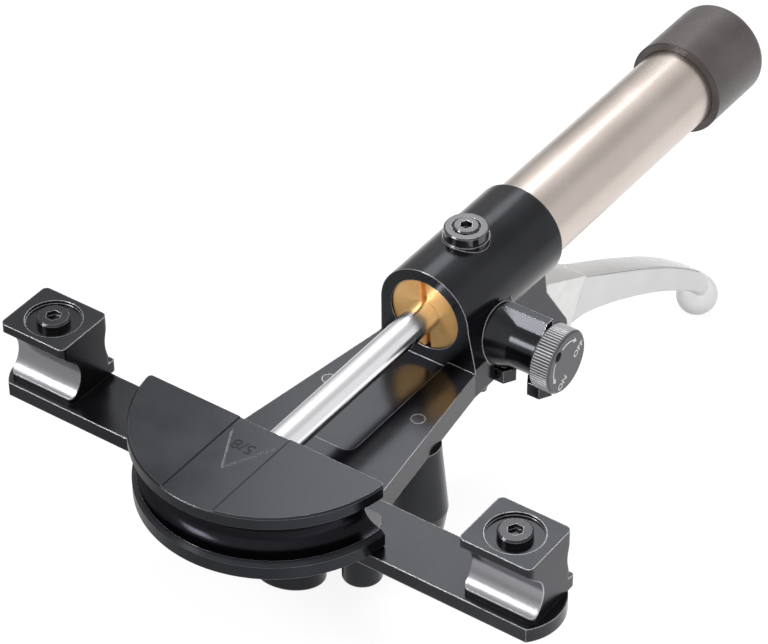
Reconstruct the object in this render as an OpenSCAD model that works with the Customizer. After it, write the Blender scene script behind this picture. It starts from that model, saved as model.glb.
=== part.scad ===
// Hydraulic pipe bender: a hand pump pushes a ram with a half-moon former
// between two swivelling guide blocks on a crossbar.
// The ram axis runs along Y. The origin is on that axis, at the back face of the former
// with the ram fully out. The former is at -Y, the handle tube at +Y, and Z is up.

/* [Ram] */
// Diameter of the polished ram rod
rod_d = 13.5; // [12.5:0.1:14.5]
// Rod length that shows between former and housing with the ram out
ram_reach = 111.6; // [108:0.2:120]
// Travel of the ram
ram_stroke = 100; // [80:1:103]
// Length of the rod nose inside the former
nose_len = 26; // [20:1:30]
// Length of the guide head on the rod
head_len = 14; // [12:1:18]

/* [Former] */
// Outside diameter of the tube that is bent
tube_d = 15.9; // [12.7:0.1:16.5]
// Bend radius, measured to the centre of the tube
bend_r = 57.1; // [55:0.1:58]
// Radius of the upper flange
flange_r = 59.8; // [59:0.1:63]
// How much smaller the lower flange is in radius
flange_step = 0.8; // [0:0.1:2.5]
// Distance from the back face of the former to the centre of its arc
arc_set = 6.6; // [2:0.1:10]
// Height of the former's top above the ram axis
former_top = 15.7; // [14:0.1:18]
// How far the tube centre lies below the ram axis
tube_drop = 1; // [0.5:0.1:3]
// Height of the groove's mouth between the flanges
mouth_h = 22.4; // [19:0.1:23]
// Width of the sunk band on top of the former
band_w = 26; // [18:0.5:30]
// Depth of the sunk band and of the mark in it
band_depth = 0.5; // [0.2:0.1:0.8]
// Width of the band's sloping sides
band_slope = 0.9; // [0.2:0.1:1.5]
// Length of the arrow mark in the band
mark_len = 21; // [12:0.5:24]

/* [Crossbar] */
// Distance of the crossbar's top face below the ram axis
bar_drop = 18; // [17.5:0.1:20]
// Width of the crossbar
bar_w = 29.5; // [28:0.5:34]
// Thickness of the crossbar
bar_t = 6.9; // [6:0.1:9]
// Distance from the former's back face to the middle of the crossbar
bar_set = 7.1; // [5:0.1:9]
// Distance of each guide block bolt from the ram axis
block_x = 115.6; // [110:0.2:130]
// Radius of the crossbar's round ends
bar_end_r = 21.3; // [19:0.1:26]

/* [Guide blocks] */
// Width of a guide block along the crossbar
block_w = 33.6; // [31:0.2:36]
// Depth of a guide block across the crossbar
block_d = 29.9; // [28:0.1:32]
// Height of the block's top above the ram axis
block_top = 13.8; // [13:0.1:16]
// Diameter of the tube that fits the deep groove
big_tube_d = 22.2; // [20:0.1:22.4]
// Depth of the deep groove
deep_groove = 10; // [9:0.1:10.2]
// Distance of the deep groove's centre below the ram axis
groove_drop = 5; // [4.6:0.1:5.4]
// Radius of the shallow groove
small_groove_r = 16.5; // [14:0.1:19]
// Depth of the shallow groove
small_groove = 3; // [2:0.1:4]
// How far the block's foot stands behind its top
foot_shift = 3.5; // [2:0.1:4]
// Rounding of the block's upright edges
block_round = 2.6; // [1.5:0.1:4]
// Diameter of the round recess under the bolt head
recess_d = 24.4; // [22:0.1:26]
// Depth of that recess
recess_depth = 1.6; // [0.8:0.1:2]
// Diameter of the guide block bolt
bolt_d = 8; // [6:0.5:8]
// Diameter of its head
bolt_head_d = 14.6; // [13:0.1:17]
// Height of its head
bolt_head_h = 3.4; // [3:0.1:6]
// Width across flats of its hexagon socket
bolt_hex = 6; // [5:0.5:7]
// Width across flats of the lock nut under the crossbar
nut_hex = 13; // [12.5:0.5:15]
// Thickness of the lock nut
nut_t = 5; // [4:0.1:6]

/* [Frame] */
// Depth of the frame's floor below the ram axis
floor_drop = 20.4; // [19.5:0.1:22]
// Thickness of the frame
frame_t = 13; // [11:0.5:16]
// Half width of the frame at the housing
frame_rear = 24.6; // [24:0.1:27]
// Half width of the frame behind the crossbar
frame_front = 38.2; // [35:0.1:42]
// Half width of the pocket in the floor
pocket_half = 12.2; // [9:0.1:14]
// Depth of that pocket
pocket_depth = 3; // [1:0.1:4]
// Distance of the crossbar screws from the ram axis
screw_x = 42; // [40:0.5:48]
// Diameter of the crossbar screws
screw_d = 8; // [6:0.5:8]
// Height of the bosses that take the crossbar screws
screw_boss_h = 22; // [18:0.5:26]
// Diameter of those bosses
screw_boss_d = 17; // [15:0.5:19]

/* [Feet] */
// Diameter of the front foot at the ground
front_foot_d = 30.4; // [28:0.2:34]
// Distance of the front foot's bottom below the ram axis
front_foot_drop = 72.8; // [70:0.2:78]
// Distance of the front foot behind the former's back face
front_foot_y = 13.4; // [12:0.2:19]
// Largest diameter of a rear foot
rear_foot_d = 26; // [24:0.2:30]
// Distance of each rear foot from the ram axis
rear_foot_x = 23; // [20:0.2:24]
// Distance of the rear feet behind the former's back face
rear_foot_y = 74; // [68:0.5:80]
// Diameter of the foot screws
foot_screw_d = 5.8; // [5:0.1:7]

/* [Housing] */
// Diameter of the barrel
barrel_d = 45; // [44:0.2:47]
// Length of the barrel
barrel_len = 72.5; // [70:0.5:78]
// Diameter of the brass gland nut
gland_d = 34.2; // [33:0.1:36]
// Thickness of the gland nut
gland_t = 14; // [11:0.5:16]
// How far the gland nut sits below the barrel's face
gland_sink = 0.8; // [0.3:0.1:1.5]
// Width of the slot across the gland nut
slot_w = 3; // [2:0.1:4]
// Angle, in degrees, that the slot leans from upright
slot_lean = 5; // [0:1:90]
// Depth of that slot
slot_depth = 2.5; // [1.5:0.1:3.5]

/* [Cylinder] */
// Outside diameter of the inner cylinder
cyl_d = 31; // [30:0.2:32]
// Bore of the inner cylinder
cyl_bore = 25; // [24.6:0.1:26]
// Wire diameter of the ram return spring
spring_wire = 2; // [1.6:0.1:2.2]
// Curls of the ram return spring
spring_turns = 19; // [12:1:20]
// Gap between its curls with the ram out
spring_gap = 0.6; // [0.45:0.05:0.8]

/* [Handle] */
// Diameter of the handle tube
handle_d = 39; // [38:0.1:39.6]
// Wall of the handle tube
handle_wall = 1.8; // [1.4:0.1:2]
// Length of handle tube and cap that shows behind the barrel
handle_len = 172.3; // [168:0.5:185]
// Outside diameter of the rubber cap
cap_d = 46.4; // [45:0.1:48]
// Length of the rubber cap
cap_len = 42.4; // [38:0.2:48]
// Thickness of the cap's end
cap_end = 6; // [4:0.5:8]
// Rounding of the cap's back edge
cap_round = 5; // [2:0.5:7]

/* [Filler] */
// Distance of the filler behind the barrel's front face
filler_set = 31.2; // [28:0.2:34]
// Diameter of the filler collar
filler_d = 19.4; // [18:0.1:21]
// Height of the collar's top above the barrel
filler_h = 5.2; // [4:0.1:7]
// Diameter of the filler screw's head
filler_head_d = 11.4; // [10:0.1:12]
// Width across flats of the filler screw's socket
filler_hex = 5; // [4:0.5:6]

/* [Release valve] */
// Distance of the valve behind the barrel's front face
valve_set = 21.4; // [20:0.2:23]
// Distance of the valve below the ram axis
valve_drop = 13.3; // [12:0.1:14.5]
// Diameter of the valve boss
valve_boss_d = 22; // [20:0.2:23]
// Distance of the valve boss's end from the ram axis
valve_boss_x = 47.4; // [45:0.2:50]
// Diameter of the knob
knob_d = 29.5; // [27:0.1:32]
// Thickness of the knob
knob_t = 10; // [8:0.1:12]
// Gap between knob and boss
knob_gap = 1; // [0.5:0.1:2]
// Diameter of the release spindle
spindle_d = 8; // [7:0.1:9]
// Width across flats of the two plugs below the boss
plug_hex = 10.6; // [9:0.1:11]
// Distance of the plugs' lower faces below the ram axis
plug_drop = 35; // [34:0.2:38]
// Distance of the first plug from the ram axis
plug_x = 27; // [26.5:0.1:27.5]
// Distance between the two plugs
plug_pitch = 18.2; // [17.6:0.1:18.3]

/* [Pump] */
// Diameter of the pump plunger
plunger_d = 10; // [8:0.5:10]
// Distance of the plunger below the ram axis
plunger_drop = 42; // [41:0.2:43]
// Travel of the plunger
plunger_stroke = 9; // [8.9:0.1:9.4]
// Diameter of the pump boss
pump_boss_d = 27.8; // [26:0.2:28]
// Distance of the pump boss's end in front of the barrel's end
pump_set = 7; // [6.5:0.1:8]
// Distance of the lever pin behind the barrel
pin_set = 11; // [10.5:0.1:12]
// Distance of the lever pin below the plunger
lever_arm = 18; // [17:0.2:18]
// Diameter of the lever pin
pin_d = 8; // [7:0.1:8]
// Thickness of each lever ear
ear_t = 5.5; // [5:0.1:6.5]
// Radius of the ears' round ends
ear_r = 9; // [8:0.1:10]

/* [Lever] */
// Angle, in degrees, between lever and handle at rest
lever_angle = 28.5; // [28:0.1:29]
// Length from the pin to the centre of the ball
lever_len = 172.2; // [165:0.2:178]
// Width of the lever with its sleeve
lever_w = 16; // [15:0.1:17]
// Depth of the lever at its root
lever_depth = 24; // [22:0.2:25]
// Diameter of the ball at its end
ball_d = 20.7; // [19:0.1:22]
// Wall of the sleeve
sleeve_wall = 2; // [1.6:0.1:2.4]

/* [Fits] */
// Radial clearance of what turns or slides
run_fit = 0.04; // [0.02:0.01:0.06]
// Clearance of what is seated or screwed in
seat_fit = 0.05; // [0.03:0.01:0.08]
// Clearance round rubber pieces
soft_fit = 0.1; // [0.05:0.01:0.15]

/* [Hidden] */
$fn = 64;
over = 1;
eps = 0.01;

// Stations along the ram axis
barrel_y = ram_reach;
barrel_end = barrel_y + barrel_len;
barrel_r = barrel_d / 2;
gland_y = barrel_y + gland_sink;
cyl_flange_t = 3;
cyl_flange_d = gland_d - 0.4 * cyl_flange_t;
cyl_y = gland_y + gland_t;
spring_len = spring_turns * (spring_wire + spring_gap) + spring_wire;
spring_y = cyl_y + seat_fit;
head_y = spring_y + spring_len + seat_fit;
head_nut_t = 6;
rod_end = head_y + head_len + head_nut_t;
cyl_run_out = 4;
cyl_base_t = 10;
cyl_end = rod_end + ram_stroke + cyl_run_out + cyl_base_t;
handle_end = barrel_end + handle_len;
tube_sink = 14;
tube_y = barrel_end - tube_sink;
tube_end = handle_end - cap_end;
end_plug_t = 9;
handle_bore = handle_d - 2 * handle_wall;

// Heights
bar_top = -bar_drop;
bar_bottom = bar_top - bar_t;
floor_z = -floor_drop;
frame_bottom = floor_z - frame_t;
bar_front = bar_set - bar_w / 2;
bar_back = bar_set + bar_w / 2;
valve_y = barrel_y + valve_set;
valve_z = -valve_drop;
filler_y = barrel_y + filler_set;
plunger_z = -plunger_drop;
pin_y = barrel_end + pin_set;
pin_z = plunger_z - lever_arm;
oring = 2;

// A cylinder along Y from y0 to y1
module y_cyl(d, y0, y1, d2 = undef) {
    translate([0, y0, 0]) rotate([-90, 0, 0])
        cylinder(d1 = d, d2 = is_undef(d2) ? d : d2, h = y1 - y0);
}
// A ring along Y
module y_ring(d, bore, y0, y1) {
    difference() {
        y_cyl(d, y0, y1);
        y_cyl(bore, y0 - over, y1 + over);
    }
}
// A cylinder along X from x0 to x1
module x_cyl(d, x0, x1) {
    translate([x0, 0, 0]) rotate([0, 90, 0]) cylinder(d = d, h = x1 - x0);
}
// A cylinder along Z from z0 to z1
module z_cyl(d, z0, z1, d2 = undef) {
    translate([0, 0, z0]) cylinder(d1 = d, d2 = is_undef(d2) ? d : d2, h = z1 - z0);
}
// A hexagon prism along Z with the given width across flats
module z_hex(af, z0, z1) {
    translate([0, 0, z0]) cylinder(d = af / cos(30), h = z1 - z0, $fn = 6);
}
// A box from one corner to the opposite one
module span(a, b) {
    translate(a) cube(b - a);
}
// A ring of round section round the Y axis
module y_oring(mid_d, section_d, y) {
    translate([0, y, 0]) rotate([-90, 0, 0]) rotate_extrude()
        translate([mid_d / 2, 0]) circle(d = section_d, $fn = 24);
}
// The same shape on both sides of the ram axis
module both() {
    children();
    mirror([1, 0, 0]) children();
}

// Body casting
notch_back = bar_back + seat_fit;
frame_under = bar_bottom - seat_fit;
platform_y = bar_front + bar_w * 0.3;
rib_t = bar_t * 0.85;
wall_end = barrel_y + barrel_len * 0.45;
// How far the right side of the housing spreads towards the frame
flare = barrel_r * 0.17;
valve_root_d = valve_boss_d * 1.3;
valve_root_x = barrel_r * 1.08;
valve_cone = barrel_r * 0.45;
web_x = valve_root_x + valve_cone * 0.1;
web_y = valve_boss_d * 0.25;
web_top = valve_boss_d * 0.68;
pump_bore_y = barrel_end - barrel_len * 0.47;
pump_boss_y = barrel_end - barrel_len * 0.6;
boss_end = barrel_end - pump_set;
ear_in = lever_w / 2 + 4 * soft_fit;
ear_out = ear_in + ear_t;
seat_ball_d = spindle_d * 0.75;
valve_floor = barrel_r + flare / 2;
passage_d = spindle_d * 0.3;
port_x = 22.3;
port_y = barrel_y + valve_set / 2;
port_d = 7;

// Outline of the frame, seen from above
module frame_plan() {
    polygon([[-frame_front, notch_back], [frame_front, notch_back],
        [barrel_r + flare, barrel_y], [barrel_r, wall_end],
        [-barrel_r, wall_end], [-frame_rear, barrel_y]]);
}
module frame_solid() {
    translate([0, 0, frame_bottom]) linear_extrude(floor_z - frame_bottom) frame_plan();
    // The seat of the crossbar
    span([-screw_x, platform_y, frame_bottom], [screw_x, notch_back + over, frame_under]);
    both() translate([screw_x, bar_set, 0])
        z_cyl(screw_boss_d, bar_bottom - screw_boss_h, frame_under);
    // Ribs from the screw bosses to the feet
    both() span([screw_x - screw_boss_d / 2, bar_set, frame_bottom - rib_t],
        [screw_x - screw_boss_d / 2 + rib_t, notch_back + over, frame_bottom + over]);
}
// The floor pocket below the rod, with round corners
module floor_pocket() {
    corner = pocket_half * 0.37;
    front = barrel_y * 0.364;
    translate([0, 0, floor_z - pocket_depth]) linear_extrude(pocket_depth + over) union() {
        translate([-pocket_half, front + corner]) square([2 * pocket_half, barrel_y - front - corner]);
        translate([corner - pocket_half, front]) square([2 * (pocket_half - corner), 2 * corner]);
        translate([corner - pocket_half, front + corner]) circle(corner);
        translate([pocket_half - corner, front + corner]) circle(corner);
    }
}
// One ear that holds the lever pin
module ear(x0, x1) {
    lean = 25;
    root_z = -barrel_r * 0.7;
    translate([x0, 0, 0]) rotate([90, 0, 90]) linear_extrude(x1 - x0) union() {
        translate([pin_y, pin_z]) circle(ear_r);
        polygon([[pin_y + ear_r * cos(lean), pin_z + ear_r * sin(lean)],
            [barrel_end + ear_r / 4, -barrel_r * 1.35],
            [barrel_end - seat_fit, root_z],
            [pump_bore_y, root_z],
            [pin_y - 3.2 * ear_r, plunger_z - pump_boss_d / 2],
            [pin_y - ear_r * sin(lean), pin_z - ear_r * cos(lean)]]);
    }
}
module housing_solid() {
    y_cyl(barrel_d, barrel_y, barrel_end);
    // Sides below the barrel, down to the frame, the right one spread for the valve
    translate([0, wall_end, 0]) rotate([90, 0, 0]) linear_extrude(wall_end - barrel_y)
        polygon([[-barrel_r, 0], [barrel_r, 0], [barrel_r + flare, 0.9 * floor_z],
            [barrel_r + flare, frame_bottom], [-barrel_r, frame_bottom]]);
    // Valve boss with its root and the web on its back
    translate([0, valve_y, valve_z]) {
        x_cyl(valve_boss_d, 0, valve_boss_x);
        x_cyl(valve_root_d, 0, valve_root_x);
        translate([valve_root_x, 0, 0]) rotate([0, 90, 0])
            cylinder(d1 = valve_root_d, d2 = valve_boss_d, h = valve_cone);
        translate([web_x, 0, 0]) rotate([90, 0, 90]) linear_extrude(valve_boss_x - web_x)
            polygon([[-web_y * 0.75, web_top * 0.6], [web_y * 0.25, web_top], [web_y, web_top],
                [web_y, 0], [0, 0]]);
    }
    // Pump boss below the rear of the barrel
    translate([0, 0, plunger_z]) y_cyl(pump_boss_d, pump_boss_y, boss_end);
    span([-pump_boss_d / 2, pump_boss_y, plunger_z], [pump_boss_d / 2, boss_end, 0]);
    both() ear(ear_in, ear_out);
    // Ring under the filler collar
    translate([0, filler_y, 0]) z_cyl(filler_d * 1.06, barrel_r / 2, filler_foot);
}
module housing_bores() {
    y_cyl(gland_d + 2 * seat_fit, barrel_y - over, cyl_y + cyl_flange_t + seat_fit);
    y_cyl(cyl_d + 2 * seat_fit, barrel_y, barrel_end + over);
    y_cyl(handle_d + 2 * seat_fit, tube_y - seat_fit, barrel_end + over);
    // Groove of the cylinder seal
    y_cyl(cyl_d + 2 * oring, tube_y - 3 * oring, tube_y - 2 * oring);
    // Pump bore with the counterbore of its spring
    translate([0, 0, plunger_z]) {
        y_cyl(plunger_d + 2 * run_fit, pump_bore_y, boss_end + over);
        y_cyl(plunger_d + 2 * oring, pump_seal_y, pump_seal_y + oring);
        y_cyl(pump_spring_d + 2 * soft_fit, pump_spring_y, boss_end + over);
    }
    // Bore of the spindle, seat of the ball, and the passage to the cylinder
    translate([0, valve_y, valve_z]) {
        x_cyl(spindle_d + 2 * run_fit, valve_floor, valve_boss_x + over);
        x_cyl(passage_d, cyl_d / 2 - over, valve_floor + over);
        x_cyl(spindle_d + 2 * oring, valve_boss_x - 4 * oring, valve_boss_x - 3 * oring);
    }
    // Bores of the two plugs, from below
    for (x = [plug_x, plug_x + plug_pitch]) translate([x, valve_y, 0]) {
        z_cyl(plug_thread_d + 2 * seat_fit, -plug_drop, plug_bore_top);
        z_cyl(plug_hex / cos(30) + 6 * soft_fit, -plug_drop, plug_head_top);
        z_cyl(passage_d, plug_bore_top - over, valve_z);
    }
    // Filler hole
    translate([0, filler_y, 0]) z_cyl(filler_thread_d + 2 * seat_fit, cyl_d / 4, barrel_r + filler_h);
    // Lever pin
    translate([0, pin_y, pin_z]) x_cyl(pin_d + 2 * seat_fit, -ear_out - over, ear_out + over);
    // Space for the nose of the lever, between the ears
    span([-ear_in, boss_end, pin_z - 2 * ear_r], [ear_in, pin_y + 2 * ear_r, -barrel_r]);
    translate([port_x, port_y, 0])
        z_cyl(port_d * 0.6 + 2 * seat_fit, frame_bottom - over, frame_bottom + 0.85 * port_d);
}
module screw_bores() {
    both() translate([screw_x, bar_set, 0])
        z_cyl(screw_d + 2 * seat_fit, bar_bottom - screw_len - over, bar_bottom + over);
    both() translate([rear_foot_x, rear_foot_y, 0])
        z_cyl(foot_screw_d + 2 * seat_fit, frame_bottom - over, floor_z + over);
    translate([0, front_foot_y, 0])
        z_cyl(foot_screw_d + 2 * seat_fit, frame_bottom - over, frame_under + over);
}
module body_casting() {
    color("#17171a") difference() {
        union() {
            frame_solid();
            housing_solid();
        }
        floor_pocket();
        housing_bores();
        screw_bores();
    }
}

// Crossbar with its screws
screw_len = screw_boss_h * 0.8;
screw_head_d = 2 * screw_d;
module crossbar() {
    color("#1b1b1e") difference() {
        translate([0, 0, bar_bottom]) linear_extrude(bar_t) intersection() {
            translate([-block_x - bar_end_r, bar_front]) square([2 * (block_x + bar_end_r), bar_w]);
            union() {
                translate([-block_x, bar_front]) square([2 * block_x, bar_w]);
                for (s = [-1, 1]) translate([s * block_x, bar_set]) circle(bar_end_r, $fn = 128);
            }
        }
        both() translate([screw_x, bar_set, 0]) {
            z_cyl(screw_d + 2 * seat_fit, bar_bottom - over, bar_top + over);
            z_cyl(screw_d + 2 * seat_fit, bar_top - (screw_head_d - screw_d) / 2, bar_top + eps,
                screw_head_d + 2 * seat_fit);
        }
        both() translate([block_x, bar_set, 0])
            z_cyl(bolt_d + 2 * seat_fit, bar_bottom - over, bar_top + over);
    }
}
module crossbar_screws() {
    head_t = (screw_head_d - screw_d) / 2;
    socket = screw_d * 0.6;
    color("#2a2a2c") both() translate([screw_x, bar_set, 0]) difference() {
        union() {
            z_cyl(screw_d, bar_bottom - screw_len, bar_top - head_t);
            z_cyl(screw_d, bar_top - head_t, bar_top - seat_fit, screw_head_d - 2 * seat_fit);
        }
        z_hex(socket, bar_top - head_t, bar_top + over);
    }
}

// Feet: their bottoms lie on one sloping plane that the lever's ball touches too
ball_y = pin_y + lever_len * cos(lever_angle);
ball_z = pin_z - lever_len * sin(lever_angle);
stand_run = ball_y - front_foot_y;
stand_fall = -front_foot_drop - ball_z;
stand_slope = atan2(stand_fall, stand_run) + asin(ball_d / 2 / norm([stand_run, stand_fall]));
foot_top_share = 0.8;
rear_top_share = 0.77;
tip_share = 0.75;
shank_share = 0.65;
foot_recess_d = foot_screw_d * 2.2;
function stand_z(y) = -front_foot_drop - (y - front_foot_y) * tan(stand_slope);
// What lies above the sloping plane that the object stands on
module above_stand(y) {
    span_r = 2 * front_foot_d;
    translate([0, y, stand_z(y)]) rotate([-stand_slope, 0, 0])
        translate([-span_r, -span_r, 0]) cube([2 * span_r, 2 * span_r, 2 * span_r]);
}
module foot_hole(deep_z) {
    z_cyl(foot_screw_d + 2 * seat_fit, deep_z - over, frame_bottom + over);
    z_cyl(foot_recess_d, deep_z - 4 * foot_recess_d, deep_z);
}
module front_foot() {
    foot_z = stand_z(front_foot_y) - front_foot_d / 2;
    seat = foot_screw_z(front_foot_y);
    color("#1c1c1f") intersection() {
        translate([0, front_foot_y, 0]) difference() {
            union() {
                z_cyl(front_foot_d, stand_z(front_foot_y), frame_bottom, front_foot_d * foot_top_share);
                z_cyl(front_foot_d, foot_z, stand_z(front_foot_y));
            }
            foot_hole(seat);
        }
        above_stand(front_foot_y);
    }
}
function foot_screw_z(y) = stand_z(y) + (frame_bottom - stand_z(y)) * 0.16;
module rear_feet() {
    wide_z = frame_bottom + (stand_z(rear_foot_y) - frame_bottom) * shank_share;
    low_z = stand_z(rear_foot_y) - rear_foot_d / 4;
    color("#1c1c1f") intersection() {
        both() translate([rear_foot_x, rear_foot_y, 0]) difference() {
            union() {
                z_cyl(rear_foot_d, wide_z, frame_bottom, rear_foot_d * rear_top_share);
                z_cyl(rear_foot_d * tip_share * 0.9, low_z, wide_z, rear_foot_d);
            }
            foot_hole(foot_screw_z(rear_foot_y));
        }
        above_stand(rear_foot_y);
    }
}
module foot_screw(y, top) {
    seat = foot_screw_z(y);
    head_t = foot_screw_d * 0.7;
    difference() {
        union() {
            z_cyl(foot_screw_d, seat - eps, top);
            z_cyl(foot_recess_d - 0.3 * foot_screw_d, seat - head_t, seat);
        }
        z_hex(foot_screw_d * 0.7, seat - head_t - over, seat - head_t / 3);
    }
}
module foot_screws() {
    color("#303033") {
        both() translate([rear_foot_x, rear_foot_y, 0]) foot_screw(rear_foot_y, floor_z - seat_fit);
        translate([0, front_foot_y, 0]) foot_screw(front_foot_y, frame_under - seat_fit);
    }
}

// Guide blocks
foot_h = foot_shift * 1.7;
deep_r = big_tube_d / 2 + seat_fit;
groove_z = -groove_drop;
groove_y = deep_groove - deep_r - block_d / 2;
small_z = groove_z + deep_groove / 2;
module rounded(w, d, r) {
    union() {
        for (x = [r - w / 2, w / 2 - r], y = [r - d / 2, d / 2 - r]) translate([x, y]) circle(r);
        square([w - 2 * r, d], center = true);
        square([w, d - 2 * r], center = true);
    }
}
// The deep groove runs out in a slope below the block's front edge
module groove_section() {
    union() {
        translate([groove_y, groove_z]) circle(deep_r, $fn = 128);
        translate([groove_y, groove_z]) rotate(45) square([deep_r - seat_fit, 2 * deep_r]);
        translate([block_d / 2 - small_groove + small_groove_r, small_z]) circle(small_groove_r, $fn = 128);
    }
}
module guide_block(side) {
    translate([side * block_x, bar_set, 0]) difference() {
        union() {
            translate([0, 0, bar_top + foot_h]) linear_extrude(block_top - bar_top - foot_h)
                rounded(block_w, block_d, block_round);
            translate([0, foot_shift, bar_top + soft_fit]) linear_extrude(foot_h - soft_fit)
                rounded(block_w, block_d, block_round);
        }
        translate([-block_w / 2 - over, 0, 0]) rotate([90, 0, 90]) linear_extrude(block_w + 2 * over)
            groove_section();
        z_cyl(bolt_d + 2 * run_fit, bar_top - over, block_top + over);
        z_cyl(recess_d, block_top - recess_depth, block_top + over);
    }
}
module guide_block_left() {
    color("#1a1a1d") guide_block(-1);
}
module guide_block_right() {
    color("#1a1a1d") guide_block(1);
}
// Cap head bolts on which the blocks swivel, with washers and lock nuts
washer_t = 1;
bolt_seat = block_top - recess_depth + soft_fit;
bolt_chamfer = 0.8;
module block_bolts() {
    color("#26262a") for (s = [-1, 1]) translate([s * block_x, bar_set, 0]) difference() {
        union() {
            z_cyl(bolt_d, bar_bottom - washer_t - nut_t, bolt_seat + eps);
            z_cyl(bolt_head_d, bolt_seat, bolt_seat + bolt_head_h - bolt_chamfer);
            z_cyl(bolt_head_d, bolt_seat + bolt_head_h - bolt_chamfer, bolt_seat + bolt_head_h,
                bolt_head_d - 2 * bolt_chamfer);
        }
        z_hex(bolt_hex, bolt_seat + bolt_head_h / 3, bolt_seat + bolt_head_h + over);
    }
}
module block_washers() {
    color("#8c8c90") for (s = [-1, 1]) translate([s * block_x, bar_set, 0]) difference() {
        z_cyl(nut_hex + washer_t, bar_bottom - washer_t, bar_bottom);
        z_cyl(bolt_d + 2 * seat_fit, bar_bottom - washer_t - over, bar_bottom + over);
    }
}
module block_nuts() {
    color("#8c8c90") for (s = [-1, 1]) translate([s * block_x, bar_set, bar_bottom - washer_t])
        difference() {
            z_hex(nut_hex, -nut_t, 0);
            z_cyl(bolt_d + 2 * seat_fit, -nut_t - over, over);
        }
}

// Bending former
groove_r = tube_d / 2 + seat_fit;
former_bottom = bar_top + soft_fit;
tube_z = -tube_drop;
low_r = flange_r - flange_step;
rim_chamfer = 0.8;
mark_w = 0.5;
mark_half = band_w * 0.41;
corner_cut = flange_r * 0.045;
// Half section of the former, turned round the centre of its arc
module former_profile() {
    difference() {
        polygon([[0, former_bottom], [low_r - rim_chamfer, former_bottom],
            [low_r, former_bottom + rim_chamfer], [low_r, tube_z],
            [flange_r, tube_z], [flange_r, former_top - rim_chamfer],
            [flange_r - rim_chamfer, former_top], [0, former_top]]);
        translate([bend_r, tube_z]) circle(groove_r, $fn = 96);
        polygon([[bend_r, tube_z - groove_r], [flange_r + over, tube_z - mouth_h / 2 - over],
            [flange_r + over, tube_z + mouth_h / 2 + over], [bend_r, tube_z + groove_r]]);
    }
}
// The arrow on the sunk band, pointing away from the ram
module arrow_mark() {
    arm = norm([mark_half, mark_len]);
    back = -band_w * 0.29;
    for (s = [-1, 1]) translate([0, back - mark_len, 0])
        rotate([0, 0, -s * atan2(mark_half, mark_len)])
        translate([-mark_w / 2, 0, former_top - 2 * band_depth]) cube([mark_w, arm, 2 * band_depth]);
}
module bending_former() {
    color("#1c1c20") difference() {
        intersection() {
            translate([0, arc_set, 0]) rotate_extrude($fn = 180) former_profile();
            span([-flange_r - over, arc_set - flange_r - over, former_bottom - over],
                [flange_r + over, 0, former_top + over]);
        }
        translate([0, over, former_top]) rotate([90, 0, 0]) linear_extrude(2 * flange_r) polygon(
            [[-band_w / 2 + band_slope, -band_depth], [band_w / 2 - band_slope, -band_depth],
            [band_w / 2, 0], [band_w / 2, over], [-band_w / 2, over], [-band_w / 2, 0]]);
        arrow_mark();
        // The back corners of the upper flange are cut
        both() translate([sqrt(flange_r * flange_r - arc_set * arc_set), 0, 0]) rotate([0, 0, 45])
            translate([-corner_cut / 2, -2 * corner_cut, tube_z])
            cube([2 * corner_cut, 4 * corner_cut, flange_r]);
        // Socket for the nose of the rod
        y_cyl(rod_d + 2 * seat_fit, -nose_len - seat_fit, over);
        y_cyl(rod_d + 1.2 * oring, -nose_len / 2 - oring / 2, -nose_len / 2 + oring / 2);
    }
}
ring_section = oring * 0.8;
module former_ring() {
    color("#9a9a9e") y_oring(rod_d - ring_section * 0.5, ring_section, -nose_len / 2);
}

// Ram: rod, guide head, ring and nut
spigot_d = rod_d * 0.7;
module ram_rod() {
    groove_d = rod_d - ring_section * 1.5 - 2 * seat_fit;
    color("#d8dade") difference() {
        union() {
            y_cyl(rod_d - rod_d * 0.15, -nose_len, -nose_len + rod_d * 0.075, rod_d);
            y_cyl(rod_d, -nose_len + rod_d * 0.075, head_y);
            y_cyl(spigot_d, head_y - eps, rod_end);
        }
        difference() {
            y_cyl(rod_d + over, -nose_len / 2 - ring_section / 2 - seat_fit,
                -nose_len / 2 + ring_section / 2 + seat_fit);
            y_cyl(groove_d, -nose_len, 0);
        }
    }
}
ring_w = head_len * 0.3;
ring_deep = 1.5;
module ram_head() {
    oil_way = spigot_d * 0.25;
    ring_y = head_y + (head_len - ring_w) / 2;
    color("#b9bbbf") difference() {
        y_cyl(cyl_bore - 6 * run_fit, head_y, head_y + head_len);
        y_cyl(spigot_d + 2 * seat_fit, head_y - over, head_y + head_len + over);
        y_ring(cyl_bore + over, cyl_bore - 2 * ring_deep, ring_y, ring_y + ring_w);
        for (a = [45:90:315]) rotate([0, a, 0]) translate([(spigot_d + cyl_bore) / 4 + 0.1 * oil_way, 0, 0])
            y_cyl(oil_way, head_y - over, head_y + head_len + over);
    }
}
module head_guide_ring() {
    ring_y = head_y + (head_len - ring_w) / 2;
    color("#3c6e4a") y_ring(cyl_bore - 2 * run_fit, cyl_bore - 2 * ring_deep + 2 * seat_fit,
        ring_y + seat_fit, ring_y + ring_w - seat_fit);
}
module head_nut() {
    color("#a5a5a9") difference() {
        translate([0, head_y + head_len, 0]) rotate([-90, 0, 0]) z_hex(spigot_d * 1.7, 0, head_nut_t);
        y_cyl(spigot_d + 2 * seat_fit, head_y, rod_end + over);
    }
}

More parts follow.
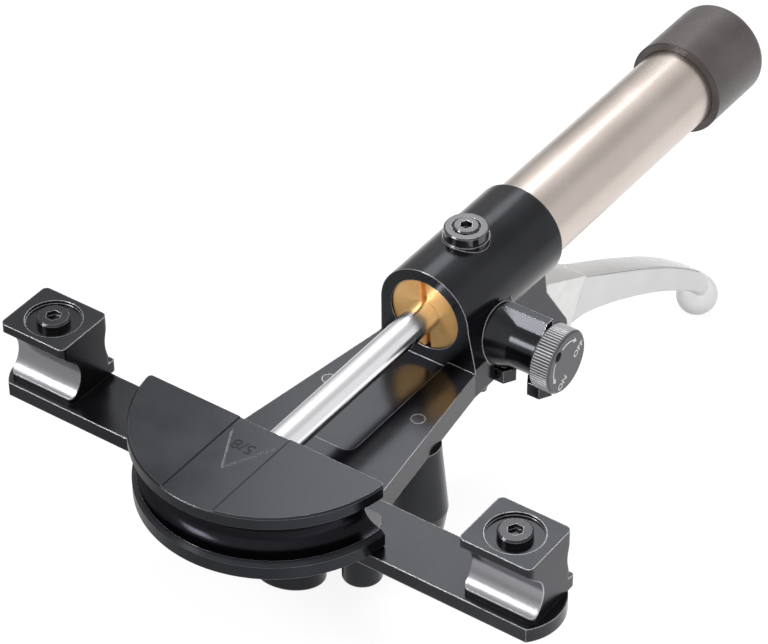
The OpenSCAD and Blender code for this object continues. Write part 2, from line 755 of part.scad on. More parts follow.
// Ram return spring: one wire wound round the rod between gland and head
coil_r = (rod_d + cyl_bore) / 4;
coil_rings = 8;
wire_sides = 6;
ring_count = coil_rings * spring_turns + 1;
coil_pitch = (spring_len - spring_wire) / spring_turns;
function coil_point(i, a) =
    let (t = 360 * i / coil_rings, r = coil_r + spring_wire / 2 * cos(a),
        y = spring_y + spring_wire / 2 + coil_pitch * i / coil_rings + spring_wire / 2 * sin(a))
    [r * cos(t), y, r * sin(t)];
echo(least_spring_gap = coil_pitch - spring_wire);
module wound_wire() {
    points = [for (i = [0:ring_count - 1], j = [0:wire_sides - 1]) coil_point(i, 360 * j / wire_sides)];
    sides = [for (i = [0:ring_count - 2], j = [0:wire_sides - 1])
        let (a = i * wire_sides + j, b = i * wire_sides + (j + 1) % wire_sides)
        each [[a, a + wire_sides, b], [b, a + wire_sides, b + wire_sides]]];
    last = (ring_count - 1) * wire_sides;
    caps = [[for (j = [0:wire_sides - 1]) j], [for (j = [wire_sides - 1:-1:0]) last + j]];
    polyhedron(points, concat(sides, caps));
}
module ram_return_spring() {
    color("#8f9196") wound_wire();
}

// Gland nut with seal and wiper
wiper_t = 2.4;
wiper_y = gland_y + slot_depth * 1.2;
seal_t = 4;
seal_ring = 2.2;
module gland_nut() {
    end_y = gland_y + gland_t;
    color("#c8963c") difference() {
        y_cyl(gland_d, gland_y, end_y - seat_fit);
        y_cyl(rod_d + 2 * run_fit, gland_y - over, end_y + over);
        y_cyl(rod_d + 2 * seal_ring, wiper_y, wiper_y + wiper_t);
        y_cyl(rod_d + 2 * seal_ring, end_y - 1.75 * seal_t, end_y - 0.75 * seal_t);
        rotate([0, -slot_lean, 0])
            span([-slot_w / 2, gland_y - over, -gland_d], [slot_w / 2, gland_y + slot_depth, gland_d]);
    }
}
module rod_wiper() {
    color("#141416") y_ring(rod_d + 2 * seal_ring - 2 * seat_fit, rod_d + 2 * run_fit,
        wiper_y + seat_fit, wiper_y + wiper_t - seat_fit);
}
module rod_seal() {
    end_y = gland_y + gland_t;
    color("#2b5fa8") y_ring(rod_d + 2 * seal_ring - 2 * seat_fit, rod_d + 2 * run_fit,
        end_y - 1.75 * seal_t + seat_fit, end_y - 0.75 * seal_t - seat_fit);
}

// Inner cylinder and its base
base_thread_depth = 1;
base_thread_d = cyl_bore + 2 * base_thread_depth;
module inner_cylinder() {
    color("#9a9ca0") difference() {
        union() {
            y_cyl(cyl_d, cyl_y + eps, cyl_end);
            y_cyl(cyl_flange_d, cyl_y + eps, cyl_y + cyl_flange_t);
        }
        y_cyl(cyl_bore, cyl_y - over, cyl_end + over);
        y_cyl(base_thread_d, cyl_end - cyl_base_t, cyl_end + over);
        // Oil way to the release valve
        translate([0, valve_y, valve_z]) x_cyl(passage_d, 0, cyl_d);
    }
}
module cylinder_base() {
    color("#77797d") difference() {
        y_cyl(base_thread_d - 2 * seat_fit, cyl_end - cyl_base_t + seat_fit, cyl_end);
        translate([0, cyl_end, 0]) rotate([-90, 0, 0]) z_hex(base_thread_d * 0.5, -cyl_base_t / 2, over);
    }
}
module cylinder_seal() {
    color("#141416") y_ring(cyl_d + 1.8 * oring, cyl_d + seat_fit,
        tube_y - 3 * oring + seat_fit, tube_y - 2 * oring - seat_fit);
}

// Handle: tube, end plug, bladder and rubber cap
module handle_tube() {
    color("#c9c0b4") y_ring(handle_d, handle_bore, tube_y, tube_end);
}
module tube_end_plug() {
    plug_y = tube_end - end_plug_t;
    color("#85878b") difference() {
        y_cyl(handle_bore - 2 * seat_fit, plug_y, tube_end);
        y_ring(handle_bore + over, handle_bore - 1.8 * oring, plug_y + oring, plug_y + 2.2 * oring);
    }
}
module end_plug_seal() {
    plug_y = tube_end - end_plug_t;
    color("#141416") y_ring(handle_bore - 2 * run_fit, handle_bore - 1.8 * oring + 2 * run_fit,
        plug_y + oring + seat_fit, plug_y + 2.2 * oring - seat_fit);
}
module oil_bladder() {
    wall = handle_wall * 0.8;
    from = cyl_end + 10 * soft_fit;
    to = tube_end - end_plug_t - seat_fit;
    outer = handle_bore - 2 * soft_fit;
    color("#202022") difference() {
        y_cyl(outer, from, to);
        y_cyl(outer - 2 * wall, from + wall, to - wall);
    }
}
module end_cap() {
    front = handle_end - cap_len;
    r = cap_d / 2;
    lip = cap_round / 10;
    color("#232021") difference() {
        translate([0, front, 0]) rotate([-90, 0, 0]) rotate_extrude($fn = 96) union() {
            square([r - cap_round, cap_len]);
            translate([0, lip]) square([r, cap_len - cap_round - lip]);
            square([r - lip, lip + eps]);
            translate([r - cap_round, cap_len - cap_round]) circle(cap_round, $fn = 64);
        }
        y_cyl(handle_d + 2 * soft_fit, front - over, handle_end - cap_end + soft_fit);
    }
}

// Filler: collar, washer and screw on top of the barrel
filler_thread_d = filler_d * 0.6;
filler_top = barrel_r + filler_h;
filler_foot = barrel_r + filler_h * 0.15;
filler_recess = filler_h * 0.27;
filler_shank_d = filler_head_d * 0.53;
filler_chamfer = filler_h * 0.11;
module filler_collar() {
    color("#232326") translate([0, filler_y, 0]) difference() {
        union() {
            z_cyl(filler_thread_d, cyl_d / 2 + seat_fit, filler_foot + eps);
            z_cyl(filler_d, filler_foot + eps, filler_top - filler_chamfer);
            z_cyl(filler_d, filler_top - filler_chamfer, filler_top, filler_d - 2 * filler_chamfer);
        }
        z_cyl(filler_shank_d + 2 * seat_fit, 0, filler_top + over);
        z_cyl(filler_head_d + filler_recess, filler_top - filler_recess, filler_top + over);
    }
}
washer_h = filler_h * 0.13;
module filler_washer() {
    z0 = filler_top - filler_recess;
    color("#b06a3a") translate([0, filler_y, 0]) difference() {
        z_cyl(filler_head_d, z0, z0 + washer_h);
        z_cyl(filler_shank_d + 2 * seat_fit, z0 - over, z0 + washer_h + over);
    }
}
module filler_screw() {
    z0 = filler_top - filler_recess + washer_h;
    head_t = filler_h * 0.3;
    color("#2c2c30") translate([0, filler_y, 0]) difference() {
        union() {
            z_cyl(filler_shank_d, cyl_d / 2 + 2 * seat_fit, z0 + eps);
            z_cyl(filler_head_d, z0, z0 + head_t - filler_chamfer);
            z_cyl(filler_head_d, z0 + head_t - filler_chamfer, z0 + head_t,
                filler_head_d - 2 * filler_chamfer);
        }
        z_hex(filler_hex, z0 - head_t, z0 + head_t + over);
    }
}

// Release valve: spindle, knob and ball
spindle_x = valve_floor + seat_ball_d + 2 * seat_fit;
knob_x = valve_boss_x + knob_gap;
knob_chamfer = 1;
knob_hole_d = 3.6;
knob_hole_r = knob_d * 0.355;
knob_hole_angle = 125;
knob_bore_depth = knob_t * 0.7;
grub_d = 3;
module release_spindle() {
    color("#a9abb0") translate([0, valve_y, valve_z]) difference() {
        x_cyl(spindle_d, spindle_x, knob_x + knob_bore_depth - seat_fit);
        x_oring(spindle_d, oring * 0.5, valve_boss_x - 3.5 * oring);
    }
}
// A ring of round section round the X axis
module x_oring(mid_d, section_d, x) {
    translate([x, 0, 0]) rotate([0, 90, 0]) rotate_extrude()
        translate([mid_d / 2, 0]) circle(d = section_d, $fn = 24);
}
module release_knob() {
    color("#1e1e20") translate([knob_x, valve_y, valve_z]) difference() {
        union() {
            x_cyl(knob_d, 0, knob_t - knob_chamfer);
            translate([knob_t - knob_chamfer, 0, 0]) rotate([0, 90, 0])
                cylinder(d1 = knob_d, d2 = knob_d - 2 * knob_chamfer, h = knob_chamfer);
        }
        x_cyl(spindle_d + 2 * seat_fit, -over, knob_bore_depth);
        rotate([knob_hole_angle, 0, 0]) translate([0, knob_hole_r, 0])
            x_cyl(knob_hole_d, knob_t / 2, knob_t + over);
        translate([knob_t * 0.35, 0, 0]) z_cyl(grub_d + 2 * seat_fit, -knob_d, 0);
    }
}
module knob_grub_screw() {
    color("#2c2c30") translate([knob_x + knob_t * 0.35, valve_y, valve_z]) difference() {
        z_cyl(grub_d, -knob_d / 2 + grub_d, -spindle_d / 2 - seat_fit);
        z_hex(grub_d / 2, -knob_d / 2 + grub_d - over, -knob_d / 2 + grub_d * 1.5);
    }
}
module spindle_seal() {
    seal_x = valve_boss_x - 4 * oring;
    color("#141416") translate([0, valve_y, valve_z]) difference() {
        x_cyl(spindle_d + 1.9 * oring, seal_x + seat_fit, seal_x + oring - seat_fit);
        x_cyl(spindle_d + 2 * run_fit, seal_x - over, seal_x + oring + over);
    }
}
module release_ball() {
    color("#b8babd") translate([valve_floor + seat_ball_d / 2 + seat_fit, valve_y, valve_z])
        sphere(d = seat_ball_d);
}

// Hex plugs below the valve boss, each with a ball and a spring above it
plug_thread_d = plug_hex * 0.56;
plug_bore_top = valve_z - spindle_d * 0.6;
valve_ball_d = plug_hex * 0.3;
plug_head_top = valve_z - knob_d / 2 - 3 * soft_fit;
plug_stem_top = valve_z - valve_boss_d * 0.39;
plug_pocket = plug_hex * 0.4;
module at_plugs() {
    for (x = [plug_x, plug_x + plug_pitch]) translate([x, valve_y, 0]) children();
}
module valve_plugs() {
    color("#242427") at_plugs() difference() {
        union() {
            z_hex(plug_hex, -plug_drop, plug_head_top);
            z_cyl(plug_thread_d, plug_head_top - eps, plug_stem_top);
        }
        z_cyl(valve_ball_d + 2 * soft_fit, plug_stem_top - plug_pocket, plug_stem_top + over);
    }
}
module valve_balls() {
    color("#b8babd") at_plugs() translate([0, 0, plug_bore_top - valve_ball_d / 2 - seat_fit])
        sphere(d = valve_ball_d);
}
valve_wire = 0.5;
module valve_springs() {
    z0 = plug_stem_top - plug_pocket + seat_fit;
    z1 = plug_bore_top - valve_ball_d - 2 * seat_fit;
    color("#8f9196") at_plugs() difference() {
        z_cyl(valve_ball_d, z0, z1);
        z_cyl(valve_ball_d - 2 * valve_wire, z0 - over, z1 + over);
    }
}
module port_plug() {
    color("#242427") translate([port_x, port_y, 0]) {
        z_cyl(port_d * 0.6, frame_bottom - 2 * seat_fit, frame_bottom + port_d * 0.8);
        z_cyl(port_d * 0.7, frame_bottom - port_d * 0.6, frame_bottom - seat_fit, port_d);
    }
}

// Pump: plunger, seal and spring
pump_spring_wire = 1.2;
pump_spring_d = plunger_d + 2 * pump_spring_wire + 4 * soft_fit;
pump_spring_y = boss_end - plunger_d;
pump_seal_y = pump_spring_y - 3 * oring;
plunger_in = pump_bore_y + plunger_stroke + over;
collar_t = oring;
plunger_nose = boss_end + plunger_stroke + collar_t + soft_fit;
nose_r = pin_y - plunger_nose - soft_fit;
module pump_plunger() {
    color("#c3c5c9") translate([0, 0, plunger_z]) {
        y_cyl(plunger_d, plunger_in, plunger_nose - collar_t + eps);
        y_cyl(pump_spring_d, plunger_nose - collar_t, plunger_nose);
    }
}
module plunger_seal() {
    color("#141416") translate([0, 0, plunger_z])
        y_ring(plunger_d + 1.9 * oring, plunger_d + 2 * run_fit,
            pump_seal_y + seat_fit, pump_seal_y + oring - seat_fit);
}
module plunger_spring() {
    color("#8f9196") translate([0, 0, plunger_z])
        y_ring(pump_spring_d, pump_spring_d - 2 * pump_spring_wire, pump_spring_y + seat_fit,
            plunger_nose - collar_t - seat_fit);
}

// Lever: sections from the root to the ball. Each gives its place in shares of the lever's length,
// its top and bottom in shares of the depth, its half width in shares of the width, and how round it is
section_shares = [
    [0.145, 1, -0.02, 0.5, 0.25], [0.22, 0.985, 0.16, 0.5, 0.25], [0.335, 0.975, 0.275, 0.5, 0.25],
    [0.45, 0.965, 0.335, 0.5, 0.25], [0.6, 0.925, 0.365, 0.5, 0.25], [0.7, 0.865, 0.345, 0.5, 0.26],
    [0.79, 0.785, 0.3, 0.5, 0.28], [0.868, 0.69, 0.23, 0.5, 0.32], [0.918, 0.61, 0.15, 0.5, 0.4],
    [0.948, 0.545, 0.06, 0.47, 0.6], [0.972, 0.475, -0.12, 0.42, 0.85], [0.99, 0.4, -0.28, 0.34, 1]];
core_count = 9;
around = 24;
function power(v, e) = sign(v) * pow(abs(v), e);
function ring_point(q, a) = [q[3] * lever_w * power(cos(a), q[4]), q[0] * lever_len,
    lever_depth * ((q[1] + q[2]) / 2 + (q[1] - q[2]) / 2 * power(sin(a), q[4]))];
// A smooth solid through the sections
module lofted() {
    n = len(section_shares);
    points = [for (q = section_shares, j = [0:around - 1]) ring_point(q, 360 * j / around)];
    skin = [for (i = [0:n - 2], j = [0:around - 1])
        let (a = i * around + j, b = i * around + (j + 1) % around)
        each [[a, b, a + around], [b, b + around, a + around]]];
    ends = [[for (j = [around - 1:-1:0]) j], [for (j = [0:around - 1]) (n - 1) * around + j]];
    polyhedron(points, concat(skin, ends));
}
// Places what follows in the lever's own frame: along the lever, and up
module at_lever() {
    translate([0, pin_y, pin_z]) rotate([-lever_angle, 0, 0]) children();
}
// A plate across the lever from a side view of its points
module lever_plate(points, width) {
    translate([-width / 2, 0, 0]) rotate([90, 0, 90]) linear_extrude(width) polygon(points);
}
mouth = section_shares[0][0] * lever_len;
function core_points(grow) = concat(
    [for (i = [0:core_count - 1])
        [section_shares[i][0] * lever_len, section_shares[i][1] * lever_depth - sleeve_wall + grow]],
    [for (i = [core_count - 1:-1:0])
        [section_shares[i][0] * lever_len, section_shares[i][2] * lever_depth + sleeve_wall - grow]]);
core_w = lever_w * 0.7;
// The same outline, carried on to a station in front of the sleeve's mouth
function core_outline(grow, from) = concat(
    [[from, section_shares[0][1] * lever_depth - sleeve_wall + grow]], core_points(grow),
    [[from, section_shares[0][2] * lever_depth + sleeve_wall - grow]]);
nose_z = lever_arm;
root_r = ear_r * 0.9;
module lever_core() {
    lip = mouth - soft_fit;
    nose_s = -nose_z * sin(lever_angle);
    nose_t = nose_z * cos(lever_angle);
    color("#b4b6ba") difference() {
        union() {
            at_lever() {
                lever_plate(core_outline(0, mouth - 2 * soft_fit), core_w);
                // The root between the ears
                lever_plate([[lip, section_shares[0][2] * lever_depth],
                    [lip, section_shares[0][1] * lever_depth],
                    [lip / 2, section_shares[0][1] * lever_depth * 0.98],
                    [nose_s, nose_t + nose_r], [nose_s - nose_r, nose_t],
                    [-root_r, 0], [0, -root_r]], lever_w);
            }
            translate([0, pin_y, pin_z]) {
                x_cyl(2 * root_r, -lever_w / 2, lever_w / 2);
                translate([0, 0, nose_z]) x_cyl(2 * nose_r, -lever_w / 2, lever_w / 2);
            }
        }
        translate([0, pin_y, pin_z]) x_cyl(pin_d + 2 * run_fit, -lever_w, lever_w);
    }
}
module lever_sleeve() {
    color("#e6e6e4") at_lever() difference() {
        union() {
            lofted();
            translate([0, lever_len, 0]) sphere(d = ball_d);
        }
        lever_plate(core_outline(soft_fit, mouth - over), core_w + 2 * soft_fit);
    }
}
module lever_pin() {
    head_t = pin_d * 0.25;
    color("#9b9da1") translate([0, pin_y, pin_z]) {
        x_cyl(pin_d, -ear_out - head_t, ear_out + seat_fit);
        x_cyl(pin_d * 1.4, -ear_out - head_t, -ear_out - seat_fit);
        x_cyl(pin_d * 0.8, ear_out, ear_out + 2 * head_t);
    }
}
module pin_clips() {
    clip_t = pin_d / 8;
    color("#3a3a3d") translate([0, pin_y, pin_z]) difference() {
        x_cyl(pin_d * 1.4, ear_out + 2 * seat_fit, ear_out + clip_t);
        x_cyl(pin_d * 0.8 + 2 * seat_fit, ear_out - over, ear_out + clip_t + over);
    }
}

body_casting();
crossbar();
crossbar_screws();
front_foot();
rear_feet();
foot_screws();
guide_block_left();
guide_block_right();
block_bolts();
block_washers();
block_nuts();
bending_former();
former_ring();
ram_rod();
ram_head();
head_guide_ring();
head_nut();
ram_return_spring();
gland_nut();
rod_seal();
rod_wiper();
inner_cylinder();
cylinder_seal();
cylinder_base();
handle_tube();
tube_end_plug();
end_plug_seal();
oil_bladder();
end_cap();
filler_collar();
filler_washer();
filler_screw();
release_knob();
knob_grub_screw();
release_spindle();
spindle_seal();
release_ball();
valve_plugs();
valve_springs();
valve_balls();
port_plug();
pump_plunger();
plunger_seal();
plunger_spring();
lever_core();
lever_sleeve();
lever_pin();
pin_clips();
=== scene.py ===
"""Looks of the hydraulic pipe bender: materials, knob, lettering, sleeve, springs, light, camera.

Every length is in metres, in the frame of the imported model.
"""
import math

import bmesh
import bpy
from mathutils import Matrix, Vector


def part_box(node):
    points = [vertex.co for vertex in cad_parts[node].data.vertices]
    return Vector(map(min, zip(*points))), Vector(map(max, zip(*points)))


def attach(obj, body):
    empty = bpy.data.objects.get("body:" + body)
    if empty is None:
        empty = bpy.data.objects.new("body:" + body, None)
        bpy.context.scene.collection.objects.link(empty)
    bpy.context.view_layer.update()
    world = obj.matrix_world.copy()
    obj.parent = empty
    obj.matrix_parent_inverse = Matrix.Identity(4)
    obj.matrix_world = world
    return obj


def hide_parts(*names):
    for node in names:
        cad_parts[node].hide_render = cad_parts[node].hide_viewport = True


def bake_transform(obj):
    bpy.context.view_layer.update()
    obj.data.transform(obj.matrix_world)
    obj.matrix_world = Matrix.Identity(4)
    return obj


# Camera: the photograph's point of view
CAMERA_AT = (0.653787, -0.828089, 0.922219)
CAMERA_RIGHT = (0.81569237, 0.57843875, -0.00738733)
CAMERA_UP = (-0.35914003, 0.51637415, 0.77741635)
CAMERA_BACK = (0.45350237, -0.6314795, 0.62894296)
CAMERA_LENS = 162.67
SENSOR_WIDTH = 36.0

# Floor: the plane through the three feet and the lever's ball
FLOOR_SLOPE = math.radians(13.509)
FLOOR_POINT = (0.0, 0.0134, -0.0728)
FLOOR_SIZE = 6.0
FLOOR_ALBEDO = 0.3
FLOOR_GLOW = 0.85
# What metal mirrors of the floor: darker on the former's side, brighter on the knob's; the darker side is
# a painted shade in reflections
FLOOR_MIRROR_DARK = 0.25
FLOOR_MIRROR_BRIGHT = 0.85
FLOOR_MIRROR_REACH = 0.11

# Release knob: axis, reach and ridges
KNOB_AXIS_Y = 0.133
KNOB_AXIS_Z = -0.0133
KNOB_BACK = 0.0484
KNOB_FACE = 0.0584
KNOB_RADIUS = 0.01475
KNOB_RIDGES = 68
KNOB_RIDGE_DEPTH = 0.0006
RIDGE_POINTS = 4
KNOB_CHAMFER = 0.0011
KNOB_BEVEL = 0.0002
KNOB_HUB_SHARE = 0.45
# Where the chamfer ends and where the ridges start, in chamfers from the end
CHAMFER_END = 0.8
RIDGE_START = 1.1
# The bright tips fade in between these two depths below the knob's outline
RIDGE_FADE_START = 0.0004
RIDGE_FADE_END = 0.00005
KNOB_SMOOTH = math.radians(38)
# The hole in the knob's face, measured from its axis, and how far its cutter stands out
KNOB_HOLE_RADIUS = 0.0023
KNOB_HOLE_AT = (-0.0068, 0.0076)
KNOB_HOLE_DEPTH = 0.006
CUTTER_OVER = 0.001
CUT_SMOOTH = math.radians(25)

# Words and arrows on the knob's face, measured from its axis; angles in degrees from +Y towards +Z
PRINT_THICKNESS = 0.00004
PRINT_EXTRUDE = PRINT_THICKNESS / 4
PRINT_WIDTH = 0.0007
PRINT_BOLD = 0.00008
PRINT_SMOOTH = math.radians(30)
LETTER_STEPS = 3
PRINT_TURN = math.radians(37.0)
PRINT_SIZE = 0.0046
PRINT_WORDS = [("print_off", "OFF", (0.0088, 0.0016)), ("print_on", "ON", (-0.0030, -0.0092))]
PRINT_ARC_RADIUS = 0.0102
PRINT_ARCS = [("arrow_off", 111.8, 45.8), ("arrow_on", 150.5, 214.0)]
ARROW_STEPS = 24
# An arrowhead's length and half width, in widths of its line
ARROW_HEAD = 3.6
ARROW_HALF = 1.9

# Size number on the former
MARK_SIZE = 0.0082
MARK_AT = (-0.0006, -0.0135, 0.01523)
MARK_EXTRUDE = 0.00002

# Guide block groove, where the black finish is rubbed bright
GROOVE_Y = -0.00903
GROOVE_Z = -0.005
GROOVE_RADIUS = 0.0113
GROOVE_FADE = 0.0006

# The former's groove, where shade is painted darker: radius and centre of its middle line, and its own
# radius
FORMER_RING = 0.0571
FORMER_CENTRE = (0.0, 0.0066, -0.001)
FORMER_GROOVE = 0.0083
FORMER_FADE = 0.0008

# Lever: pin, angle, length, depth, half width and ball
PIN_Y = 0.1951
PIN_Z = -0.06
LEVER_ANGLE = math.radians(28.5)
LEVER_LEN = 0.1722
LEVER_DEPTH = 0.024
LEVER_HALF = 0.008
BALL_RADIUS = 0.01035
# The sleeve's sections: place along the lever, top, bottom, half width, and how round it is
SLEEVE_SECTIONS = [
    (0.145, 1.0, -0.02, 1.0, 0.26),
    (0.22, 0.985, 0.16, 1.0, 0.26),
    (0.335, 0.975, 0.275, 1.0, 0.26),
    (0.45, 0.965, 0.335, 1.0, 0.26),
    (0.6, 0.925, 0.365, 1.0, 0.26),
    (0.7, 0.865, 0.345, 1.0, 0.27),
    (0.79, 0.785, 0.3, 1.0, 0.3),
    (0.868, 0.69, 0.23, 1.0, 0.36),
    (0.918, 0.61, 0.15, 1.0, 0.48),
    (0.948, 0.545, 0.06, 0.94, 0.7),
    (0.972, 0.475, -0.12, 0.84, 0.9),
    (0.99, 0.4, -0.28, 0.68, 0.95),
]
SLEEVE_STEPS = 6
CORNER_STEPS = 8
SLEEVE_SMOOTH = math.radians(60)
BALL_JOIN_SMOOTH = math.radians(50)
# Seams along the first sections, a share of the way out to the corners, and the rim of the mouth
SEAM_SECTIONS = 8
SEAM_IN = 0.925
SEAM_RADIUS = 0.00022
RIM_RADIUS = 0.0004
RIM_OUT = 0.003

# Springs: turns and thickness of the wire, and the points along a turn and round the wire
PUMP_SPRING_TURNS = 4
PUMP_SPRING_WIRE = 0.0012
RAM_SPRING_TURNS = 19
RAM_SPRING_WIRE = 0.002
COIL_STEPS = 24
WIRE_CORNERS = 8
WIRE_SMOOTH = math.radians(60)

# Colours, as linear red, green and blue
IRON_BLACK = (0.030, 0.031, 0.035)
IRON_DUST = (0.040, 0.041, 0.045)
FORMER_BLACK = (0.031, 0.033, 0.038)
FORMER_DUST = (0.040, 0.042, 0.047)
# Painted shade: the former's groove is coloured darker than the rest of the former
GROOVE_PAINTED_SHADE = (0.014, 0.014, 0.018)
GLOSS_BLACK = (0.08, 0.08, 0.085)
GLOSS_DUST = (0.1, 0.1, 0.105)
BOLT_BLACK = (0.04, 0.04, 0.044)
BOLT_DUST = (0.055, 0.055, 0.06)
KNOB_BLACK = (0.07, 0.07, 0.076)
RIDGE_BRIGHT = (0.52, 0.52, 0.54)
WORN_STEEL = (0.62, 0.62, 0.64)
RUBBED_STEEL = (0.34, 0.34, 0.36)
PLATED_STEEL = (0.62, 0.62, 0.6)
GROUND_STEEL = (0.55, 0.55, 0.56)
CHROME = (0.9, 0.9, 0.92)
BRASS = (1.0, 0.61, 0.24)
BRASS_SHADE = (0.95, 0.52, 0.17)
COPPER = (0.72, 0.30, 0.14)
COPPER_SHADE = (0.55, 0.2, 0.09)
TUBE_MIDDLE = (0.64, 0.56, 0.51)
TUBE_DARK = (0.62, 0.54, 0.49)
TUBE_PALE = (0.67, 0.595, 0.545)
ALLOY_MIDDLE = (0.78, 0.78, 0.77)
ALLOY_DARK = (0.72, 0.72, 0.71)
ALLOY_PALE = (0.84, 0.84, 0.83)
VINYL_MIDDLE = (0.95, 0.94, 0.94)
VINYL_DARK = (0.93, 0.92, 0.92)
VINYL_PALE = (0.97, 0.96, 0.96)
CAP_BROWN = (0.058, 0.048, 0.046)
CAP_WORN = (0.084, 0.072, 0.068)
SEAL_BLACK = (0.010, 0.010, 0.010)
SEAL_WORN = (0.018, 0.018, 0.018)
SEAL_BLUE = (0.05, 0.12, 0.35)
GUIDE_GREEN = (0.06, 0.2, 0.1)
INK_WHITE = (0.85, 0.85, 0.85)
MARK_BLACK = (0.004, 0.004, 0.005)
SEAM_GREY = (0.36, 0.36, 0.37)
WHITE = (1.0, 1.0, 1.0, 1.0)

# How many rays the rounding of edges takes, for worn paint and for the relief of a surface
WEAR_SAMPLES = 6
BUMP_SAMPLES = 4

# What shiny surfaces mirror above the floor: direction, inner and outer angle, and how much brighter
MIRROR_BASE = 0.62
MIRROR_PATCHES = [
    ((-0.42, 0.63, 0.65), 14.0, 42.0, 0.42),
    ((0.75, 0.63, 0.21), 12.0, 30.0, 0.22),
    ((-0.78, 0.60, 0.18), 6.0, 26.0, -0.18),
    ((0.10, -0.80, 0.60), 10.0, 60.0, 0.35),
]
WORLD_DIM = 0.3

# Lamps: name, position, size, watts, and whether metal mirrors it
LAMPS = [
    ("top", (-0.10, 0.45, 1.50), (0.9, 0.9), 9.0, False),
    ("back_card", (-0.40, 0.80, 0.88), (0.42, 0.50), 1.75, True),
    ("key_right", (1.25, -0.35, 0.45), (0.7, 0.7), 12.0, False),
    ("front_left", (-0.68, -0.85, 0.90), (0.45, 0.45), 7.5, True),
]
LIGHT_TARGET = (0.0, 0.09, -0.02)


# Nodes and small helpers

def new_material(name):
    """An empty node material with its output."""
    material = bpy.data.materials.new(name)
    material.use_nodes = True
    tree = material.node_tree
    tree.nodes.clear()
    out = tree.nodes.new("ShaderNodeOutputMaterial")
    return material, tree, out


def principled(tree, out, base, roughness, metallic=0.0, specular=0.5, ior=1.5):
    """A Principled shader joined to the output."""
    shader = tree.nodes.new("ShaderNodeBsdfPrincipled")
    shader.inputs["Base Color"].default_value = (*base, 1.0)
    shader.inputs["Roughness"].default_value = roughness
    shader.inputs["Metallic"].default_value = metallic
    shader.inputs["Specular IOR Level"].default_value = specular
    shader.inputs["IOR"].default_value = ior
    tree.links.new(shader.outputs["BSDF"], out.inputs["Surface"])
    return shader


def object_place(tree, scale=(1.0, 1.0, 1.0)):
    """Object coordinates, stretched."""
    place = tree.nodes.new("ShaderNodeTexCoord")
    mapping = tree.nodes.new("ShaderNodeMapping")
    mapping.inputs["Scale"].default_value = scale
    tree.links.new(place.outputs["Object"], mapping.inputs["Vector"])
    return mapping.outputs["Vector"]


def noise(tree, vector, scale, detail=3.0, roughness=0.5):
    """A noise value at this scale."""
    node = tree.nodes.new("ShaderNodeTexNoise")
    node.inputs["Scale"].default_value = scale
    node.inputs["Detail"].default_value = detail
    node.inputs["Roughness"].default_value = roughness
    tree.links.new(vector, node.inputs["Vector"])
    return node.outputs["Fac"]


def spread(tree, value, low, high, start=0.35, end=0.65):
    """The value brought from start and end to low and high; most of a noise lies from 0.35 to 0.65."""
    node = tree.nodes.new("ShaderNodeMapRange")
    node.inputs["From Min"].default_value = start
    node.inputs["From Max"].default_value = end
    node.inputs["To Min"].default_value = low
    node.inputs["To Max"].default_value = high
    tree.links.new(value, node.inputs["Value"])
    return node.outputs["Result"]


def cloudy(tree, value, first, second):
    """A colour that drifts between two with a noise value."""
    share = spread(tree, value, 0.0, 1.0)
    node = tree.nodes.new("ShaderNodeMix")
    node.data_type = "RGBA"
    node.inputs[6].default_value = (*first, 1.0)
    node.inputs[7].default_value = (*second, 1.0)
    tree.links.new(share, node.inputs[0])
    return node.outputs[2]


def bump(tree, shader, height, strength, distance, edge=0.0):
    """Surface relief, over edges rounded by the given radius."""
    node = tree.nodes.new("ShaderNodeBump")
    node.inputs["Strength"].default_value = strength
    node.inputs["Distance"].default_value = distance
    tree.links.new(height, node.inputs["Height"])
    if edge:
        rounding = tree.nodes.new("ShaderNodeBevel")
        rounding.samples = BUMP_SAMPLES
        rounding.inputs["Radius"].default_value = edge
        tree.links.new(rounding.outputs["Normal"], node.inputs["Normal"])
    tree.links.new(node.outputs["Normal"], shader.inputs["Normal"])


def add(tree, first, second, share=1.0):
    """The first value plus a share of the second."""
    node = tree.nodes.new("ShaderNodeMath")
    node.operation = "MULTIPLY_ADD"
    node.inputs[1].default_value = share
    tree.links.new(second, node.inputs[0])
    tree.links.new(first, node.inputs[2])
    return node.outputs["Value"]


def math_node(tree, kind, operation, first, second):
    """A node that works on two inputs; the second one is linked, or set when it is plain."""
    node = tree.nodes.new(kind)
    node.operation = operation
    tree.links.new(first, node.inputs[0])
    if isinstance(second, bpy.types.NodeSocket):
        tree.links.new(second, node.inputs[1])
    else:
        node.inputs[1].default_value = second
    return node


def value_math(tree, operation, first, second):
    """Two values worked together."""
    return math_node(tree, "ShaderNodeMath", operation, first, second).outputs["Value"]


def vector_math(tree, operation, first, second):
    """Two vectors worked together; gives the node, for its Vector or its Value."""
    return math_node(tree, "ShaderNodeVectorMath", operation, first, second)


def edge_wear(tree, radius):
    """1 on sharp edges, 0 on flat faces, broken up by a fine noise."""
    rounding = tree.nodes.new("ShaderNodeBevel")
    rounding.samples = WEAR_SAMPLES
    rounding.inputs["Radius"].default_value = radius
    plain = tree.nodes.new("ShaderNodeNewGeometry")
    match = vector_math(tree, "DOT_PRODUCT", rounding.outputs["Normal"], plain.outputs["Normal"])
    speck = noise(tree, object_place(tree), scale=260.0, detail=3.0)
    sharp = add(tree, match.outputs["Value"], speck, share=0.08)
    return spread(tree, sharp, 1.0, 0.0, start=0.82, end=1.0)


def blended(tree, value, first, second):
    """A colour input between a linked colour and a plain one, by the value."""
    node = tree.nodes.new("ShaderNodeMix")
    node.data_type = "RGBA"
    tree.links.new(first, node.inputs[6])
    node.inputs[7].default_value = (*second, 1.0)
    tree.links.new(value, node.inputs[0])
    return node.outputs[2]


